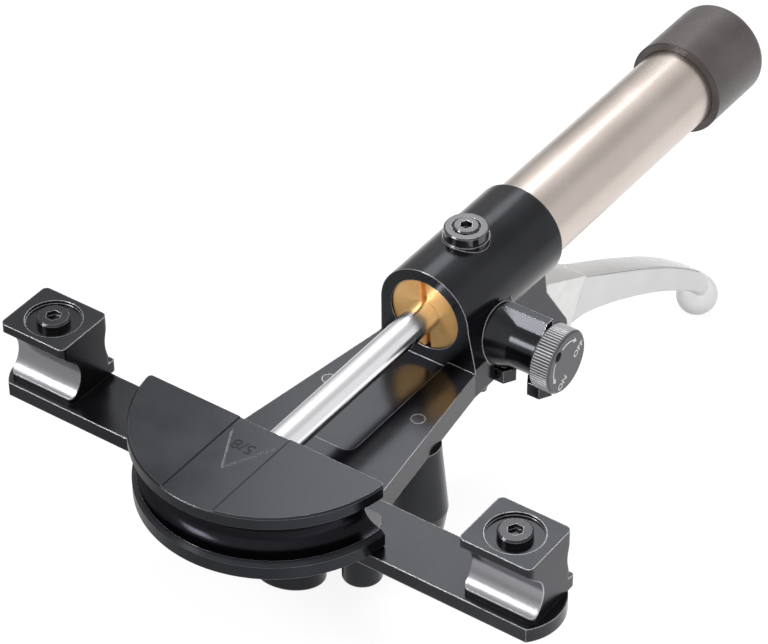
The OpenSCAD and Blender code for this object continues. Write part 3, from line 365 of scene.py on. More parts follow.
def reach_from_axis(tree, y, z):
    """How far each point of a piece is from a line along X."""
    place = tree.nodes.new("ShaderNodeTexCoord")
    flat = vector_math(tree, "MULTIPLY", place.outputs["Object"], (0.0, 1.0, 1.0))
    reach = vector_math(tree, "DISTANCE", flat.outputs["Vector"], (0.0, y, z))
    return reach.outputs["Value"]


def groove_mask(tree):
    """1 inside the deep groove of a guide block, 0 elsewhere."""
    reach = reach_from_axis(tree, GROOVE_Y, GROOVE_Z)
    return spread(tree, reach, 1.0, 0.0, start=GROOVE_RADIUS, end=GROOVE_RADIUS + GROOVE_FADE)


def knob_mask(tree):
    """1 on the tips of the knob's ridges and on its rims, 0 elsewhere."""
    reach = reach_from_axis(tree, KNOB_AXIS_Y, KNOB_AXIS_Z)
    return spread(tree, reach, 0.0, 1.0, start=KNOB_RADIUS - RIDGE_FADE_START,
                  end=KNOB_RADIUS - RIDGE_FADE_END)


def former_groove_shade_mask(tree):
    """1 inside the former's groove, where shade is painted darker, 0 elsewhere."""
    place = tree.nodes.new("ShaderNodeTexCoord")
    shifted = vector_math(tree, "SUBTRACT", place.outputs["Object"], FORMER_CENTRE)
    parts = tree.nodes.new("ShaderNodeSeparateXYZ")
    tree.links.new(shifted.outputs["Vector"], parts.inputs["Vector"])
    flat = tree.nodes.new("ShaderNodeCombineXYZ")
    tree.links.new(parts.outputs["X"], flat.inputs["X"])
    tree.links.new(parts.outputs["Y"], flat.inputs["Y"])
    around = tree.nodes.new("ShaderNodeVectorMath")
    around.operation = "LENGTH"
    tree.links.new(flat.outputs["Vector"], around.inputs[0])
    section = tree.nodes.new("ShaderNodeCombineXYZ")
    tree.links.new(around.outputs["Value"], section.inputs["X"])
    tree.links.new(parts.outputs["Z"], section.inputs["Y"])
    reach = vector_math(tree, "DISTANCE", section.outputs["Vector"], (FORMER_RING, 0.0, 0.0))
    return spread(tree, reach.outputs["Value"], 1.0, 0.0, start=FORMER_GROOVE,
                  end=FORMER_GROOVE + FORMER_FADE)


# Materials

def enamel(name, base, dusty, roughness, grain, edge, mask=None, masked=None):
    """Black enamel over iron: fine grain, soft orange peel, a little dust, bright worn edges."""
    material, tree, out = new_material(name)
    shader = principled(tree, out, base, roughness[0], metallic=0.9)
    vector = object_place(tree)
    cloud = noise(tree, vector, scale=38.0, detail=4.0)
    speck = noise(tree, vector, scale=900.0, detail=2.0)
    tint = cloudy(tree, cloud, base, dusty)
    if mask:
        tint = blended(tree, mask(tree), tint, masked)
    worn = edge_wear(tree, edge)
    tree.links.new(blended(tree, worn, tint, WORN_STEEL), shader.inputs["Base Color"])
    uneven = add(tree, cloud, speck, share=0.35)
    gloss = spread(tree, uneven, roughness[0], roughness[1], start=0.45, end=0.9)
    tree.links.new(gloss, shader.inputs["Roughness"])
    peel = noise(tree, vector, scale=420.0, detail=2.0)
    relief = add(tree, peel, speck, share=grain)
    bump(tree, shader, relief, strength=0.12, distance=0.0001, edge=edge)
    return material


def satin_steel(name, base, roughness, edge):
    """Plated or ground steel with fine scratches and a mottled tone."""
    material, tree, out = new_material(name)
    shader = principled(tree, out, base, roughness, metallic=1.0)
    cloud = noise(tree, object_place(tree), scale=180.0, detail=4.0)
    darker = tuple(part * 0.72 for part in base)
    tree.links.new(cloudy(tree, cloud, darker, base), shader.inputs["Base Color"])
    gloss = spread(tree, cloud, max(roughness - 0.08, 0.03), roughness + 0.12)
    tree.links.new(gloss, shader.inputs["Roughness"])
    scratch = noise(tree, object_place(tree, scale=(1.0, 14.0, 1.0)), scale=700.0, detail=3.0)
    bump(tree, shader, scratch, strength=0.18, distance=0.00008, edge=edge)
    return material


def chrome():
    """Hard chrome: nearly a mirror, with faint grinding rings round the rod."""
    material, tree, out = new_material("chrome_rod")
    shader = principled(tree, out, CHROME, roughness=0.16, metallic=1.0)
    rings = noise(tree, object_place(tree, scale=(0.15, 1.0, 0.15)), scale=2600.0, detail=2.0)
    cloud = noise(tree, object_place(tree), scale=60.0, detail=3.0)
    tree.links.new(spread(tree, cloud, 0.14, 0.24), shader.inputs["Roughness"])
    bump(tree, shader, rings, strength=0.1, distance=0.00003)
    return material


def turned(name, base, shade, roughness, metallic, strength, edge):
    """Turned metal: rings left by the tool about the ram axis, and a little tarnish."""
    material, tree, out = new_material(name)
    shader = principled(tree, out, base, roughness, metallic)
    vector = object_place(tree)
    cloud = noise(tree, vector, scale=60.0, detail=3.0)
    tree.links.new(cloudy(tree, cloud, shade, base), shader.inputs["Base Color"])
    tree.links.new(spread(tree, cloud, roughness + 0.04, roughness - 0.02), shader.inputs["Roughness"])
    rings = tree.nodes.new("ShaderNodeTexWave")
    rings.wave_type = "RINGS"
    rings.rings_direction = "Y"
    rings.inputs["Scale"].default_value = 900.0
    rings.inputs["Distortion"].default_value = 0.15
    tree.links.new(vector, rings.inputs["Vector"])
    bump(tree, shader, rings.outputs["Fac"], strength, distance=0.00005, edge=edge)
    return material


def handle_finish():
    """Drawn aluminium tube with a pale warm tone, long fine drawing lines and soft handling marks."""
    material, tree, out = new_material("handle_metal")
    shader = principled(tree, out, TUBE_MIDDLE, roughness=0.28, metallic=1.0)
    lines = noise(tree, object_place(tree, scale=(1.0, 0.02, 1.0)), scale=1500.0, detail=3.0)
    cloud = noise(tree, object_place(tree), scale=30.0, detail=4.0)
    tree.links.new(cloudy(tree, cloud, TUBE_DARK, TUBE_PALE), shader.inputs["Base Color"])
    uneven = add(tree, cloud, lines, share=0.4)
    gloss = spread(tree, uneven, 0.24, 0.34, start=0.5, end=0.9)
    tree.links.new(gloss, shader.inputs["Roughness"])
    bump(tree, shader, lines, strength=0.12, distance=0.00004)
    return material


def rubber(name, base, worn, roughness, scale):
    """Moulded rubber: a fine matt grain with paler worn patches."""
    material, tree, out = new_material(name)
    shader = principled(tree, out, base, roughness, specular=0.7)
    vector = object_place(tree)
    cloud = noise(tree, vector, scale=55.0, detail=5.0, roughness=0.6)
    grain = noise(tree, vector, scale, detail=2.0)
    tree.links.new(cloudy(tree, cloud, base, worn), shader.inputs["Base Color"])
    tree.links.new(spread(tree, grain, roughness - 0.05, roughness + 0.1), shader.inputs["Roughness"])
    bump(tree, shader, grain, strength=0.3, distance=0.00012, edge=0.0006)
    return material


def plastic(name, base, roughness):
    """Plain moulded plastic for the inner rings and the sleeve's seams."""
    material, tree, out = new_material(name)
    shader = principled(tree, out, base, roughness)
    grain = noise(tree, object_place(tree), scale=600.0, detail=2.0)
    tree.links.new(spread(tree, grain, roughness - 0.05, roughness + 0.08), shader.inputs["Roughness"])
    bump(tree, shader, grain, strength=0.2, distance=0.00006)
    return material


def cast_alloy():
    """Bead-blasted cast alloy of the lever."""
    material, tree, out = new_material("lever_metal")
    shader = principled(tree, out, ALLOY_MIDDLE, roughness=0.42, metallic=0.75)
    vector = object_place(tree)
    grain = noise(tree, vector, scale=1600.0, detail=2.0)
    cloud = noise(tree, vector, scale=90.0, detail=4.0)
    tree.links.new(cloudy(tree, cloud, ALLOY_DARK, ALLOY_PALE), shader.inputs["Base Color"])
    tree.links.new(spread(tree, cloud, 0.36, 0.5), shader.inputs["Roughness"])
    bump(tree, shader, grain, strength=0.3, distance=0.00006, edge=0.0008)
    return material


def clear_sleeve():
    """Soft milky vinyl that lets a little light through, with a faintly uneven skin."""
    material, tree, out = new_material("sleeve_clear")
    shader = principled(tree, out, VINYL_MIDDLE, roughness=0.2, ior=1.45)
    shader.inputs["Transmission Weight"].default_value = 0.1
    vector = object_place(tree)
    cloud = noise(tree, vector, scale=45.0, detail=3.0)
    skin = noise(tree, vector, scale=90.0, detail=2.0)
    tree.links.new(cloudy(tree, cloud, VINYL_DARK, VINYL_PALE), shader.inputs["Base Color"])
    tree.links.new(spread(tree, skin, 0.14, 0.26), shader.inputs["Roughness"])
    bump(tree, shader, skin, strength=0.08, distance=0.0001)
    return material


def printed(name, base, roughness):
    """Thin ink, slightly uneven."""
    material, tree, out = new_material(name)
    shader = principled(tree, out, base, roughness)
    cloud = noise(tree, object_place(tree), scale=1500.0, detail=3.0)
    darker = tuple(part * 0.8 for part in base)
    tree.links.new(cloudy(tree, cloud, darker, base), shader.inputs["Base Color"])
    return material


def knob_finish():
    """Black anodised knob with a faint turned sheen, bright on the tips of its ridges."""
    material, tree, out = new_material("knob_metal")
    shader = principled(tree, out, KNOB_BLACK, roughness=0.36, metallic=0.35)
    vector = object_place(tree)
    cloud = noise(tree, vector, scale=260.0, detail=4.0)
    paler = tuple(part * 1.3 for part in KNOB_BLACK)
    tint = cloudy(tree, cloud, KNOB_BLACK, paler)
    tree.links.new(blended(tree, knob_mask(tree), tint, RIDGE_BRIGHT), shader.inputs["Base Color"])
    tree.links.new(spread(tree, cloud, 0.3, 0.44), shader.inputs["Roughness"])
    fine = noise(tree, vector, scale=2400.0, detail=2.0)
    bump(tree, shader, fine, strength=0.2, distance=0.00004, edge=0.0003)
    return material


def black_materials():
    """The enamels: roughness from and to, the share of fine grain, the width of worn edges."""
    return {
        "casting": enamel("black_casting", IRON_BLACK, IRON_DUST, roughness=(0.14, 0.24),
                          grain=0.35, edge=0.0009),
        # The former's groove gets a painted shade, darker than its enamel
        "former": enamel("black_former", FORMER_BLACK, FORMER_DUST, roughness=(0.16, 0.26),
                         grain=0.3, edge=0.0004, mask=former_groove_shade_mask, masked=GROOVE_PAINTED_SHADE),
        "black_steel": enamel("black_steel", IRON_BLACK, IRON_DUST, roughness=(0.16, 0.26),
                              grain=0.2, edge=0.001),
        "block": enamel("block_steel", IRON_BLACK, IRON_DUST, roughness=(0.16, 0.26),
                        grain=0.2, edge=0.001, mask=groove_mask, masked=RUBBED_STEEL),
        "gloss_black": enamel("gloss_black", GLOSS_BLACK, GLOSS_DUST, roughness=(0.06, 0.12),
                              grain=0.05, edge=0.0007),
        "fastener": enamel("fastener", BOLT_BLACK, BOLT_DUST, roughness=(0.12, 0.2),
                           grain=0.1, edge=0.0006),
    }


def make_materials():
    """Every material, by the name that the table of nodes uses."""
    return black_materials() | {
        "plated": satin_steel("plated", PLATED_STEEL, roughness=0.3, edge=0.0002),
        "ground": satin_steel("ground_steel", GROUND_STEEL, roughness=0.26, edge=0.0002),
        "chrome": chrome(),
        "brass": turned("gland_brass", BRASS, BRASS_SHADE, roughness=0.36, metallic=0.55,
                        strength=0.16, edge=0.0004),
        "copper": turned("copper", COPPER, COPPER_SHADE, roughness=0.34, metallic=1.0,
                         strength=0.1, edge=0.0002),
        "handle": handle_finish(),
        "cap": rubber("cap_rubber", CAP_BROWN, CAP_WORN, roughness=0.3, scale=1100.0),
        "seal": rubber("seal_rubber", SEAL_BLACK, SEAL_WORN, roughness=0.4, scale=1500.0),
        "wiper": plastic("seal_blue", SEAL_BLUE, roughness=0.35),
        "guide": plastic("guide_plastic", GUIDE_GREEN, roughness=0.45),
        "lever": cast_alloy(),
        "sleeve": clear_sleeve(),
        "knob": knob_finish(),
        "white_ink": printed("white_ink", INK_WHITE, roughness=0.5),
        "dark_mark": printed("dark_mark", MARK_BLACK, roughness=0.6),
        "seam": plastic("sleeve_seam", SEAM_GREY, roughness=0.4),
    }


# Which material each node takes
NODE_MATERIALS = {
    "casting": ["body_casting", "front_foot", "rear_feet"],
    "former": ["bending_former"],
    "black_steel": ["crossbar"],
    "block": ["guide_block_left", "guide_block_right"],
    "gloss_black": ["filler_collar", "filler_screw"],
    "fastener": ["crossbar_screws", "foot_screws", "block_bolts", "knob_grub_screw", "valve_plugs",
                 "port_plug"],
    "plated": ["release_spindle", "lever_pin", "pin_clips", "head_nut", "former_ring", "block_washers",
               "block_nuts"],
    "ground": ["ram_head", "inner_cylinder", "cylinder_base", "pump_plunger", "ram_return_spring",
               "valve_springs", "valve_balls", "release_ball", "plunger_spring", "tube_end_plug"],
    "chrome": ["ram_rod"],
    "brass": ["gland_nut"],
    "copper": ["filler_washer"],
    "handle": ["handle_tube"],
    "cap": ["end_cap"],
    "seal": ["cylinder_seal", "end_plug_seal", "oil_bladder", "spindle_seal", "rod_wiper"],
    "wiper": ["rod_seal", "plunger_seal"],
    "guide": ["head_guide_ring"],
    "lever": ["lever_core"],
    "sleeve": ["lever_sleeve"],
    "knob": ["release_knob"],
}


def dress_nodes(nodes, materials):
    """Gives every node its material."""
    for key, names in NODE_MATERIALS.items():
        for name in names:
            data = nodes[name].data
            if not data.materials:
                data.materials.append(materials[key])
            for place in range(len(data.materials)):
                data.materials[place] = materials[key]


# Meshes

def new_object(name, data):
    """An object of the scene that holds the data."""
    thing = bpy.data.objects.new(name, data)
    bpy.context.scene.collection.objects.link(thing)
    return thing


def smooth(data, angle):
    """Smooth shading, broken along edges sharper than the angle."""
    for face in data.polygons:
        face.use_smooth = True
    data.set_sharp_from_angle(angle=angle)


def finish_mesh(name, work, material, smooth_angle):
    """Turns a bmesh into an object with one material."""
    data = bpy.data.meshes.new(name)
    bmesh.ops.recalc_face_normals(work, faces=work.faces)
    work.to_mesh(data)
    work.free()
    data.materials.append(material)
    thing = new_object(name, data)
    smooth(data, smooth_angle)
    return thing


def bridge(work, first, second):
    """Faces between two rings."""
    count = len(first)
    for step in range(count):
        after = (step + 1) % count
        work.faces.new((first[step], first[after], second[after], second[step]))


def cover(work, rings):
    """A closed surface over a row of rings, with a flat face at both ends."""
    for first, second in zip(rings, rings[1:]):
        bridge(work, first, second)
    work.faces.new(rings[0])
    work.faces.new(rings[-1])


def combined(thing, other, operation, smooth_angle):
    """Joins a closed piece with another, or cuts the other out of it, as one clean mesh."""
    change = thing.modifiers.new("change", "BOOLEAN")
    change.operation = operation
    change.solver = "EXACT"
    change.object = other
    bpy.context.view_layer.update()
    shape = thing.evaluated_get(bpy.context.evaluated_depsgraph_get())
    data = bpy.data.meshes.new_from_object(shape)
    thing.modifiers.clear()
    thing.data = data
    smooth(data, smooth_angle)
    bpy.data.objects.remove(other)
    return thing


# Release knob

def knob_point(work, x, radius, angle):
    """A new point round the knob's axis, its angle counted from +Y towards +Z."""
    y = KNOB_AXIS_Y + radius * math.cos(angle)
    z = KNOB_AXIS_Z + radius * math.sin(angle)
    return work.verts.new((x, y, z))


def knob_ring(work, x, radius, depth, steps):
    """One ring of points round the knob's axis; the second half of each ridge's points is drawn in."""
    ring = []
    for step in range(steps):
        drawn_in = depth if step % RIDGE_POINTS >= RIDGE_POINTS // 2 else 0.0
        angle = 2.0 * math.pi * step / steps
        ring.append(knob_point(work, x, radius - drawn_in, angle))
    return ring


def make_cutter(at, radius, depth, material):
    """A round pin along X that ends a little in front of the given point."""
    work = bmesh.new()
    middle = Matrix.Translation((at[0] - depth / 2 + CUTTER_OVER / 2, at[1], at[2]))
    turn = Matrix.Rotation(math.radians(90), 4, "Y")
    bmesh.ops.create_cone(work, cap_ends=True, segments=32, radius1=radius, radius2=radius,
                          depth=depth + CUTTER_OVER, matrix=middle @ turn)
    return finish_mesh("pin", work, material, KNOB_SMOOTH)


def make_knob(material):
    """The knurled release knob: ridges along its side, plain chamfered rims, a hole in its face."""
    inner = KNOB_RADIUS - KNOB_CHAMFER
    plan = [
        (KNOB_BACK, inner * KNOB_HUB_SHARE, 0.0),
        (KNOB_BACK, inner, 0.0),
        (KNOB_BACK + KNOB_CHAMFER * CHAMFER_END, KNOB_RADIUS - KNOB_BEVEL, 0.0),
        (KNOB_BACK + KNOB_CHAMFER * RIDGE_START, KNOB_RADIUS, KNOB_RIDGE_DEPTH),
        (KNOB_FACE - KNOB_CHAMFER * RIDGE_START, KNOB_RADIUS, KNOB_RIDGE_DEPTH),
        (KNOB_FACE - KNOB_CHAMFER * CHAMFER_END, KNOB_RADIUS - KNOB_BEVEL, 0.0),
        (KNOB_FACE - KNOB_BEVEL, inner + KNOB_BEVEL, 0.0),
        (KNOB_FACE, inner - KNOB_BEVEL / 2, 0.0),
    ]
    work = bmesh.new()
    steps = RIDGE_POINTS * KNOB_RIDGES
    cover(work, [knob_ring(work, x, radius, depth, steps) for x, radius, depth in plan])
    knob = finish_mesh("knurled_knob", work, material, KNOB_SMOOTH)
    at = (KNOB_FACE, KNOB_AXIS_Y + KNOB_HOLE_AT[0], KNOB_AXIS_Z + KNOB_HOLE_AT[1])
    cutter = make_cutter(at, KNOB_HOLE_RADIUS, KNOB_HOLE_DEPTH, material)
    return combined(knob, cutter, "DIFFERENCE", CUT_SMOOTH)


def face_basis():
    """Directions on the knob's face: along the words, up the letters, and out of the face."""
    out = Vector((1.0, 0.0, 0.0))
    along = Vector((0.0, math.cos(PRINT_TURN), math.sin(PRINT_TURN)))
    up = out.cross(along)
    return along, up, out


def place_text(name, words, size, at, basis, thickness, bold, material):
    """Flat letters centred on a point. The basis runs along them, up them and out of them."""
    data = bpy.data.curves.new(name, "FONT")
    data.body = words
    data.size = size
    data.align_x = "CENTER"
    data.align_y = "CENTER"
    data.extrude = thickness
    data.offset = bold
    data.resolution_u = LETTER_STEPS
    data.materials.append(material)
    thing = new_object(name, data)
    turn = Matrix(basis).transposed().to_4x4()
    turn.translation = Vector(at)
    thing.matrix_world = turn
    return thing


def arc_band(name, radius, start, end, width, material):
    """A printed arc with an arrowhead, on the knob's face."""
    work = bmesh.new()
    head = ARROW_HEAD * width / radius
    sign = 1.0 if end > start else -1.0
    stop = end - sign * head
    x = KNOB_FACE + PRINT_THICKNESS
    inner = []
    outer = []
    for step in range(ARROW_STEPS + 1):
        angle = start + (stop - start) * step / ARROW_STEPS
        inner.append(knob_point(work, x, radius - width / 2, angle))
        outer.append(knob_point(work, x, radius + width / 2, angle))
    for step in range(ARROW_STEPS):
        work.faces.new((inner[step], inner[step + 1], outer[step + 1], outer[step]))
    near = knob_point(work, x, radius - ARROW_HALF * width, stop)
    far = knob_point(work, x, radius + ARROW_HALF * width, stop)
    work.faces.new((near, far, knob_point(work, x, radius, end)))
    return finish_mesh(name, work, material, PRINT_SMOOTH)


def make_knob_print(material):
    """ON, OFF and two arrows on the knob's face."""
    x = KNOB_FACE + PRINT_THICKNESS
    pieces = []
    for name, words, (y, z) in PRINT_WORDS:
        at = (x, KNOB_AXIS_Y + y, KNOB_AXIS_Z + z)
        pieces.append(place_text(name, words, PRINT_SIZE, at, face_basis(), PRINT_EXTRUDE,
                                 PRINT_BOLD, material))
    for name, start, end in PRINT_ARCS:
        pieces.append(arc_band(name, PRINT_ARC_RADIUS, math.radians(start), math.radians(end),
                               PRINT_WIDTH, material))
    return pieces


# Former

def make_former_mark(material):
    """The plain size number on the former's top, read from the handle side."""
    basis = (Vector((-1.0, 0.0, 0.0)), Vector((0.0, -1.0, 0.0)), Vector((0.0, 0.0, 1.0)))
    return place_text("size_mark", "5/8", MARK_SIZE, MARK_AT, basis, MARK_EXTRUDE, 0.0, material)


# Lever's sleeve

def on_lever(x, along, up):
    """A point given across, along and above the lever, in the model's frame."""
    y = PIN_Y + along * math.cos(LEVER_ANGLE) + up * math.sin(LEVER_ANGLE)
    z = PIN_Z - along * math.sin(LEVER_ANGLE) + up * math.cos(LEVER_ANGLE)
    return (x, y, z)


def between(before, first, second, after, share):
    """A row of values on a smooth curve between the first and the second row."""
    row = []
    for a, b, c, d in zip(before, first, second, after):
        slope = 2 * a - 5 * b + 4 * c - d
        bend = 3 * b - a - 3 * c + d
        row.append(b + share * (c - a) / 2 + share ** 2 * slope / 2 + share ** 3 * bend / 2)
    return row


def sleeve_ring(work, row):
    """One rounded rectangle across the lever."""
    along, top, bottom, half, roundness = row
    wide = half * LEVER_HALF
    tall = (top - bottom) / 2 * LEVER_DEPTH
    middle = (top + bottom) / 2 * LEVER_DEPTH
    corner = roundness * min(wide, tall)
    ring = []
    for quarter, (x_side, z_side) in enumerate(((1, 1), (-1, 1), (-1, -1), (1, -1))):
        for step in range(CORNER_STEPS + 1):
            angle = math.radians(90) * (quarter + step / CORNER_STEPS)
            x = x_side * (wide - corner) + corner * math.cos(angle)
            z = z_side * (tall - corner) + corner * math.sin(angle)
            ring.append(work.verts.new(on_lever(x, along * LEVER_LEN, middle + z)))
    return ring


def make_sleeve(material):
    """The clear sleeve of the lever with its ball, drawn smoothly through its sections."""
    work = bmesh.new()
    rows = [SLEEVE_SECTIONS[0], *SLEEVE_SECTIONS, SLEEVE_SECTIONS[-1]]
    rings = []
    for place in range(len(rows) - 3):
        for step in range(SLEEVE_STEPS):
            row = between(*rows[place:place + 4], step / SLEEVE_STEPS)
            rings.append(sleeve_ring(work, row))
    rings.append(sleeve_ring(work, SLEEVE_SECTIONS[-1]))
    cover(work, rings)
    sleeve = finish_mesh("clear_sleeve", work, material, SLEEVE_SMOOTH)
    round_end = bmesh.new()
    middle = Matrix.Translation(on_lever(0.0, LEVER_LEN, 0.0))
    bmesh.ops.create_uvsphere(round_end, u_segments=64, v_segments=40, radius=BALL_RADIUS,
                              matrix=middle)
    ball = finish_mesh("ball", round_end, material, SLEEVE_SMOOTH)
    return combined(sleeve, ball, "UNION", BALL_JOIN_SMOOTH)


def wire(name, points, radius, closed, material):
    """A thin round line of plastic through the points."""
    data = bpy.data.curves.new(name, "CURVE")
    data.dimensions = "3D"
    data.bevel_depth = radius
    data.bevel_resolution = 2
    data.materials.append(material)
    line = data.splines.new("POLY")
    line.points.add(len(points) - 1)
    for point, at in zip(line.points, points):
        point.co = (*at, 1.0)
    line.use_cyclic_u = closed
    return new_object(name, data)


def make_sleeve_lines(seam_material, rim_material):
    """The moulding seams along both upper edges of the sleeve, and the rim of its mouth."""
    pieces = []
    for name, side in (("seam_right", 1.0), ("seam_left", -1.0)):
        points = []
        for along, top, bottom, _, _ in SLEEVE_SECTIONS[:SEAM_SECTIONS]:
            middle = (top + bottom) / 2
            height = middle + (top - bottom) / 2 * SEAM_IN
            x = side * LEVER_HALF * SEAM_IN
            points.append(on_lever(x, along * LEVER_LEN, height * LEVER_DEPTH))
        pieces.append(wire(name, points, SEAM_RADIUS, False, seam_material))
    along, top, bottom, _, _ = SLEEVE_SECTIONS[0]
    half = LEVER_HALF * SEAM_IN
    ends = [(half, top), (-half, top), (-half, bottom), (half, bottom)]
    mouth = (along - RIM_OUT) * LEVER_LEN
    ring = [on_lever(x, mouth, share * LEVER_DEPTH) for x, share in ends]
    pieces.append(wire("sleeve_rim", ring, RIM_RADIUS, True, rim_material))
    return pieces


# Springs

def wire_ring(work, centre, out, thickness):
    """One ring of points round the wire, with its middle at the centre."""
    ring = []
    for corner in range(WIRE_CORNERS):
        angle = 2.0 * math.pi * corner / WIRE_CORNERS
        away = out * math.cos(angle) + Vector((0.0, math.sin(angle), 0.0))
        ring.append(work.verts.new(centre + away * thickness / 2))
    return ring


def make_spring(name, node, turns, thickness, material):
    """A wound wire along Y in the place of a spring's node."""
    low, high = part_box(node)
    middle = (low + high) / 2
    radius = (high.z - low.z - thickness) / 2
    length = high.y - low.y - thickness
    count = turns * COIL_STEPS
    work = bmesh.new()
    rings = []
    for step in range(count + 1):
        turn = 2.0 * math.pi * step / COIL_STEPS
        out = Vector((math.sin(turn), 0.0, math.cos(turn)))
        y = low.y + thickness / 2 + length * step / count
        centre = Vector((middle.x, y, middle.z)) + out * radius
        rings.append(wire_ring(work, centre, out, thickness))
    cover(work, rings)
    return finish_mesh(name, work, material, WIRE_SMOOTH)


def stretch_spring(spring, node):
    """The spring stands for its node: its shape is fixed where it is built, and the node is hidden."""
    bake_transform(spring)
    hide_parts(node)


# Stage

def ray_kinds(tree):
    """1 for camera and transmission rays, and 1 for glossy rays; 0 for rays that light the object."""
    path = tree.nodes.new("ShaderNodeLightPath")
    through = path.outputs["Is Transmission Ray"]
    camera = value_math(tree, "MAXIMUM", path.outputs["Is Camera Ray"], through)
    return camera, path.outputs["Is Glossy Ray"]


def floor_finish():
    """White that glows for the camera and for reflections, and still takes a shadow."""
    material, tree, out = new_material("floor_white")
    diffuse = tree.nodes.new("ShaderNodeBsdfDiffuse")
    diffuse.inputs["Color"].default_value = (FLOOR_ALBEDO, FLOOR_ALBEDO, FLOOR_ALBEDO, 1.0)
    glow = tree.nodes.new("ShaderNodeEmission")
    camera, mirrored = ray_kinds(tree)
    seen = value_math(tree, "MULTIPLY", camera, FLOOR_GLOW)
    # Painted shade in reflections: the floor's mirrored glow is darker on the former's side
    place = tree.nodes.new("ShaderNodeTexCoord")
    across = Vector((1.0, 1.0, 0.0)).normalized()
    side = vector_math(tree, "DOT_PRODUCT", place.outputs["Object"], across)
    level = spread(tree, side.outputs["Value"], FLOOR_MIRROR_DARK, FLOOR_MIRROR_BRIGHT,
                   start=-FLOOR_MIRROR_REACH, end=FLOOR_MIRROR_REACH)
    shown = value_math(tree, "MULTIPLY", mirrored, level)
    tree.links.new(add(tree, seen, shown), glow.inputs["Strength"])
    both = tree.nodes.new("ShaderNodeAddShader")
    tree.links.new(diffuse.outputs["BSDF"], both.inputs[0])
    tree.links.new(glow.outputs["Emission"], both.inputs[1])
    tree.links.new(both.outputs["Shader"], out.inputs["Surface"])
    return material


def make_floor():
    """A large floor under the feet and the lever's ball."""
    material = floor_finish()
    work = bmesh.new()
    half = FLOOR_SIZE / 2
    around = ((-half, -half), (half, -half), (half, half), (-half, half))
    work.faces.new([work.verts.new((x, y, 0.0)) for x, y in around])
    data = bpy.data.meshes.new("floor")
    work.to_mesh(data)
    work.free()
    data.materials.append(material)
    floor = new_object("floor", data)
    floor.matrix_world = Matrix.Translation(FLOOR_POINT) @ Matrix.Rotation(-FLOOR_SLOPE, 4, "X")


def mirrored_level(tree):
    """How bright each direction is in a mirror: a pale grey room with soft brighter and darker patches."""
    place = tree.nodes.new("ShaderNodeTexCoord")
    level = tree.nodes.new("ShaderNodeValue")
    level.outputs[0].default_value = MIRROR_BASE
    total = level.outputs[0]
    for direction, inner, outer, more in MIRROR_PATCHES:
        towards = Vector(direction).normalized()
        match = vector_math(tree, "DOT_PRODUCT", place.outputs["Generated"], towards)
        edge = tree.nodes.new("ShaderNodeMapRange")
        edge.interpolation_type = "SMOOTHSTEP"
        edge.inputs["From Min"].default_value = math.cos(math.radians(outer))
        edge.inputs["From Max"].default_value = math.cos(math.radians(inner))
        tree.links.new(match.outputs["Value"], edge.inputs["Value"])
        total = add(tree, total, edge.outputs["Result"], more)
    return total


def make_world():
    """White where it is seen, a soft studio where it is mirrored, dim where it lights."""
    world = bpy.data.worlds.new("studio")
    bpy.context.scene.world = world
    world.use_nodes = True
    tree = world.node_tree
    tree.nodes.clear()
    out = tree.nodes.new("ShaderNodeOutputWorld")
    back = tree.nodes.new("ShaderNodeBackground")
    back.inputs["Color"].default_value = WHITE
    camera, mirrored = ray_kinds(tree)
    lit = tree.nodes.new("ShaderNodeMapRange")
    lit.inputs["To Min"].default_value = WORLD_DIM
    lit.inputs["To Max"].default_value = 1.0
    tree.links.new(camera, lit.inputs["Value"])
    level = tree.nodes.new("ShaderNodeMix")
    tree.links.new(mirrored, level.inputs[0])
    tree.links.new(lit.outputs["Result"], level.inputs[2])
    tree.links.new(mirrored_level(tree), level.inputs[3])
    tree.links.new(level.outputs[0], back.inputs["Strength"])
    tree.links.new(back.outputs["Background"], out.inputs["Surface"])


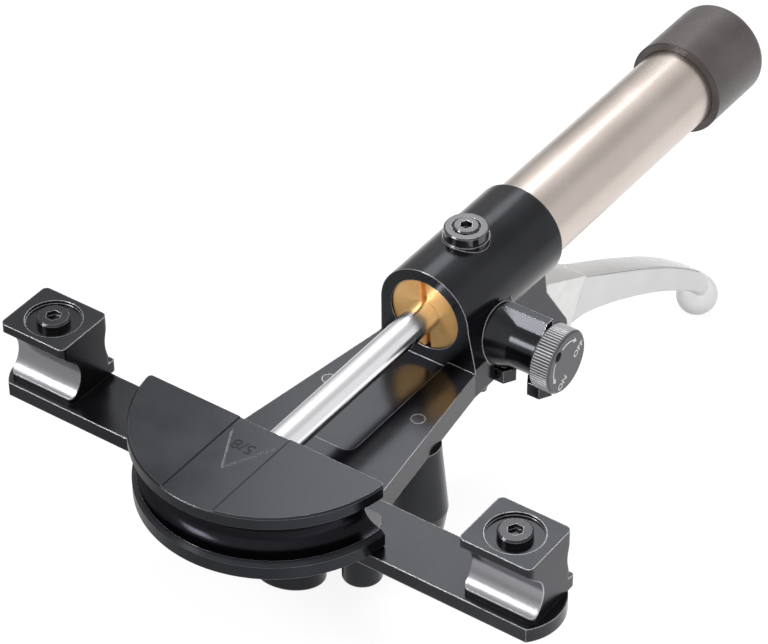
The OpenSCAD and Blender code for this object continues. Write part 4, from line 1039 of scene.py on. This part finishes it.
def make_lamps():
    """Large soft lamps that all look at the object."""
    for name, at, size, watts, mirrored in LAMPS:
        data = bpy.data.lights.new(name, "AREA")
        data.shape = "RECTANGLE"
        data.size = size[0]
        data.size_y = size[1]
        data.energy = watts
        lamp = new_object(name, data)
        look = Vector(LIGHT_TARGET) - Vector(at)
        lamp.rotation_euler = look.to_track_quat("-Z", "Y").to_euler()
        lamp.location = at
        lamp.visible_camera = False
        lamp.visible_glossy = mirrored


def make_camera():
    """The camera at the photograph's place."""
    data = bpy.data.cameras.new("camera")
    data.sensor_width = SENSOR_WIDTH
    data.sensor_fit = "HORIZONTAL"
    data.lens = CAMERA_LENS
    camera = new_object("camera", data)
    turn = Matrix((CAMERA_RIGHT, CAMERA_UP, CAMERA_BACK)).transposed().to_4x4()
    turn.translation = Vector(CAMERA_AT)
    camera.matrix_world = turn
    bpy.context.scene.camera = camera


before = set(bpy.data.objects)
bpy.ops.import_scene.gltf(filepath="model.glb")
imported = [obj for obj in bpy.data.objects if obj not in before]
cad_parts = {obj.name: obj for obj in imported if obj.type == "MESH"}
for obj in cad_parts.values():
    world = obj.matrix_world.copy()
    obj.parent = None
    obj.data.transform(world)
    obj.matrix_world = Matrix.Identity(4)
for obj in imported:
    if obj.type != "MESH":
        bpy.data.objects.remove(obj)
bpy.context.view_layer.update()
bpy.context.scene.view_settings.view_transform = "Standard"
make_camera()
make_world()
make_lamps()
make_floor()
materials = make_materials()
dress_nodes(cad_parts, materials)

knob = make_knob(materials["knob"])
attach(knob, "release_valve")
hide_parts("release_knob")
for piece in make_knob_print(materials["white_ink"]):
    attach(piece, "release_valve")
mark = make_former_mark(materials["dark_mark"])
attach(mark, "ram")

sleeve = make_sleeve(materials["sleeve"])
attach(sleeve, "pump_lever")
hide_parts("lever_sleeve")
for piece in make_sleeve_lines(materials["seam"], materials["sleeve"]):
    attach(piece, "pump_lever")

pump_spring = make_spring("pump_spring", "plunger_spring", PUMP_SPRING_TURNS, PUMP_SPRING_WIRE,
                          materials["ground"])
stretch_spring(pump_spring, "plunger_spring")
ram_spring = make_spring("ram_spring", "ram_return_spring", RAM_SPRING_TURNS, RAM_SPRING_WIRE,
                         materials["ground"])
stretch_spring(ram_spring, "ram_return_spring")
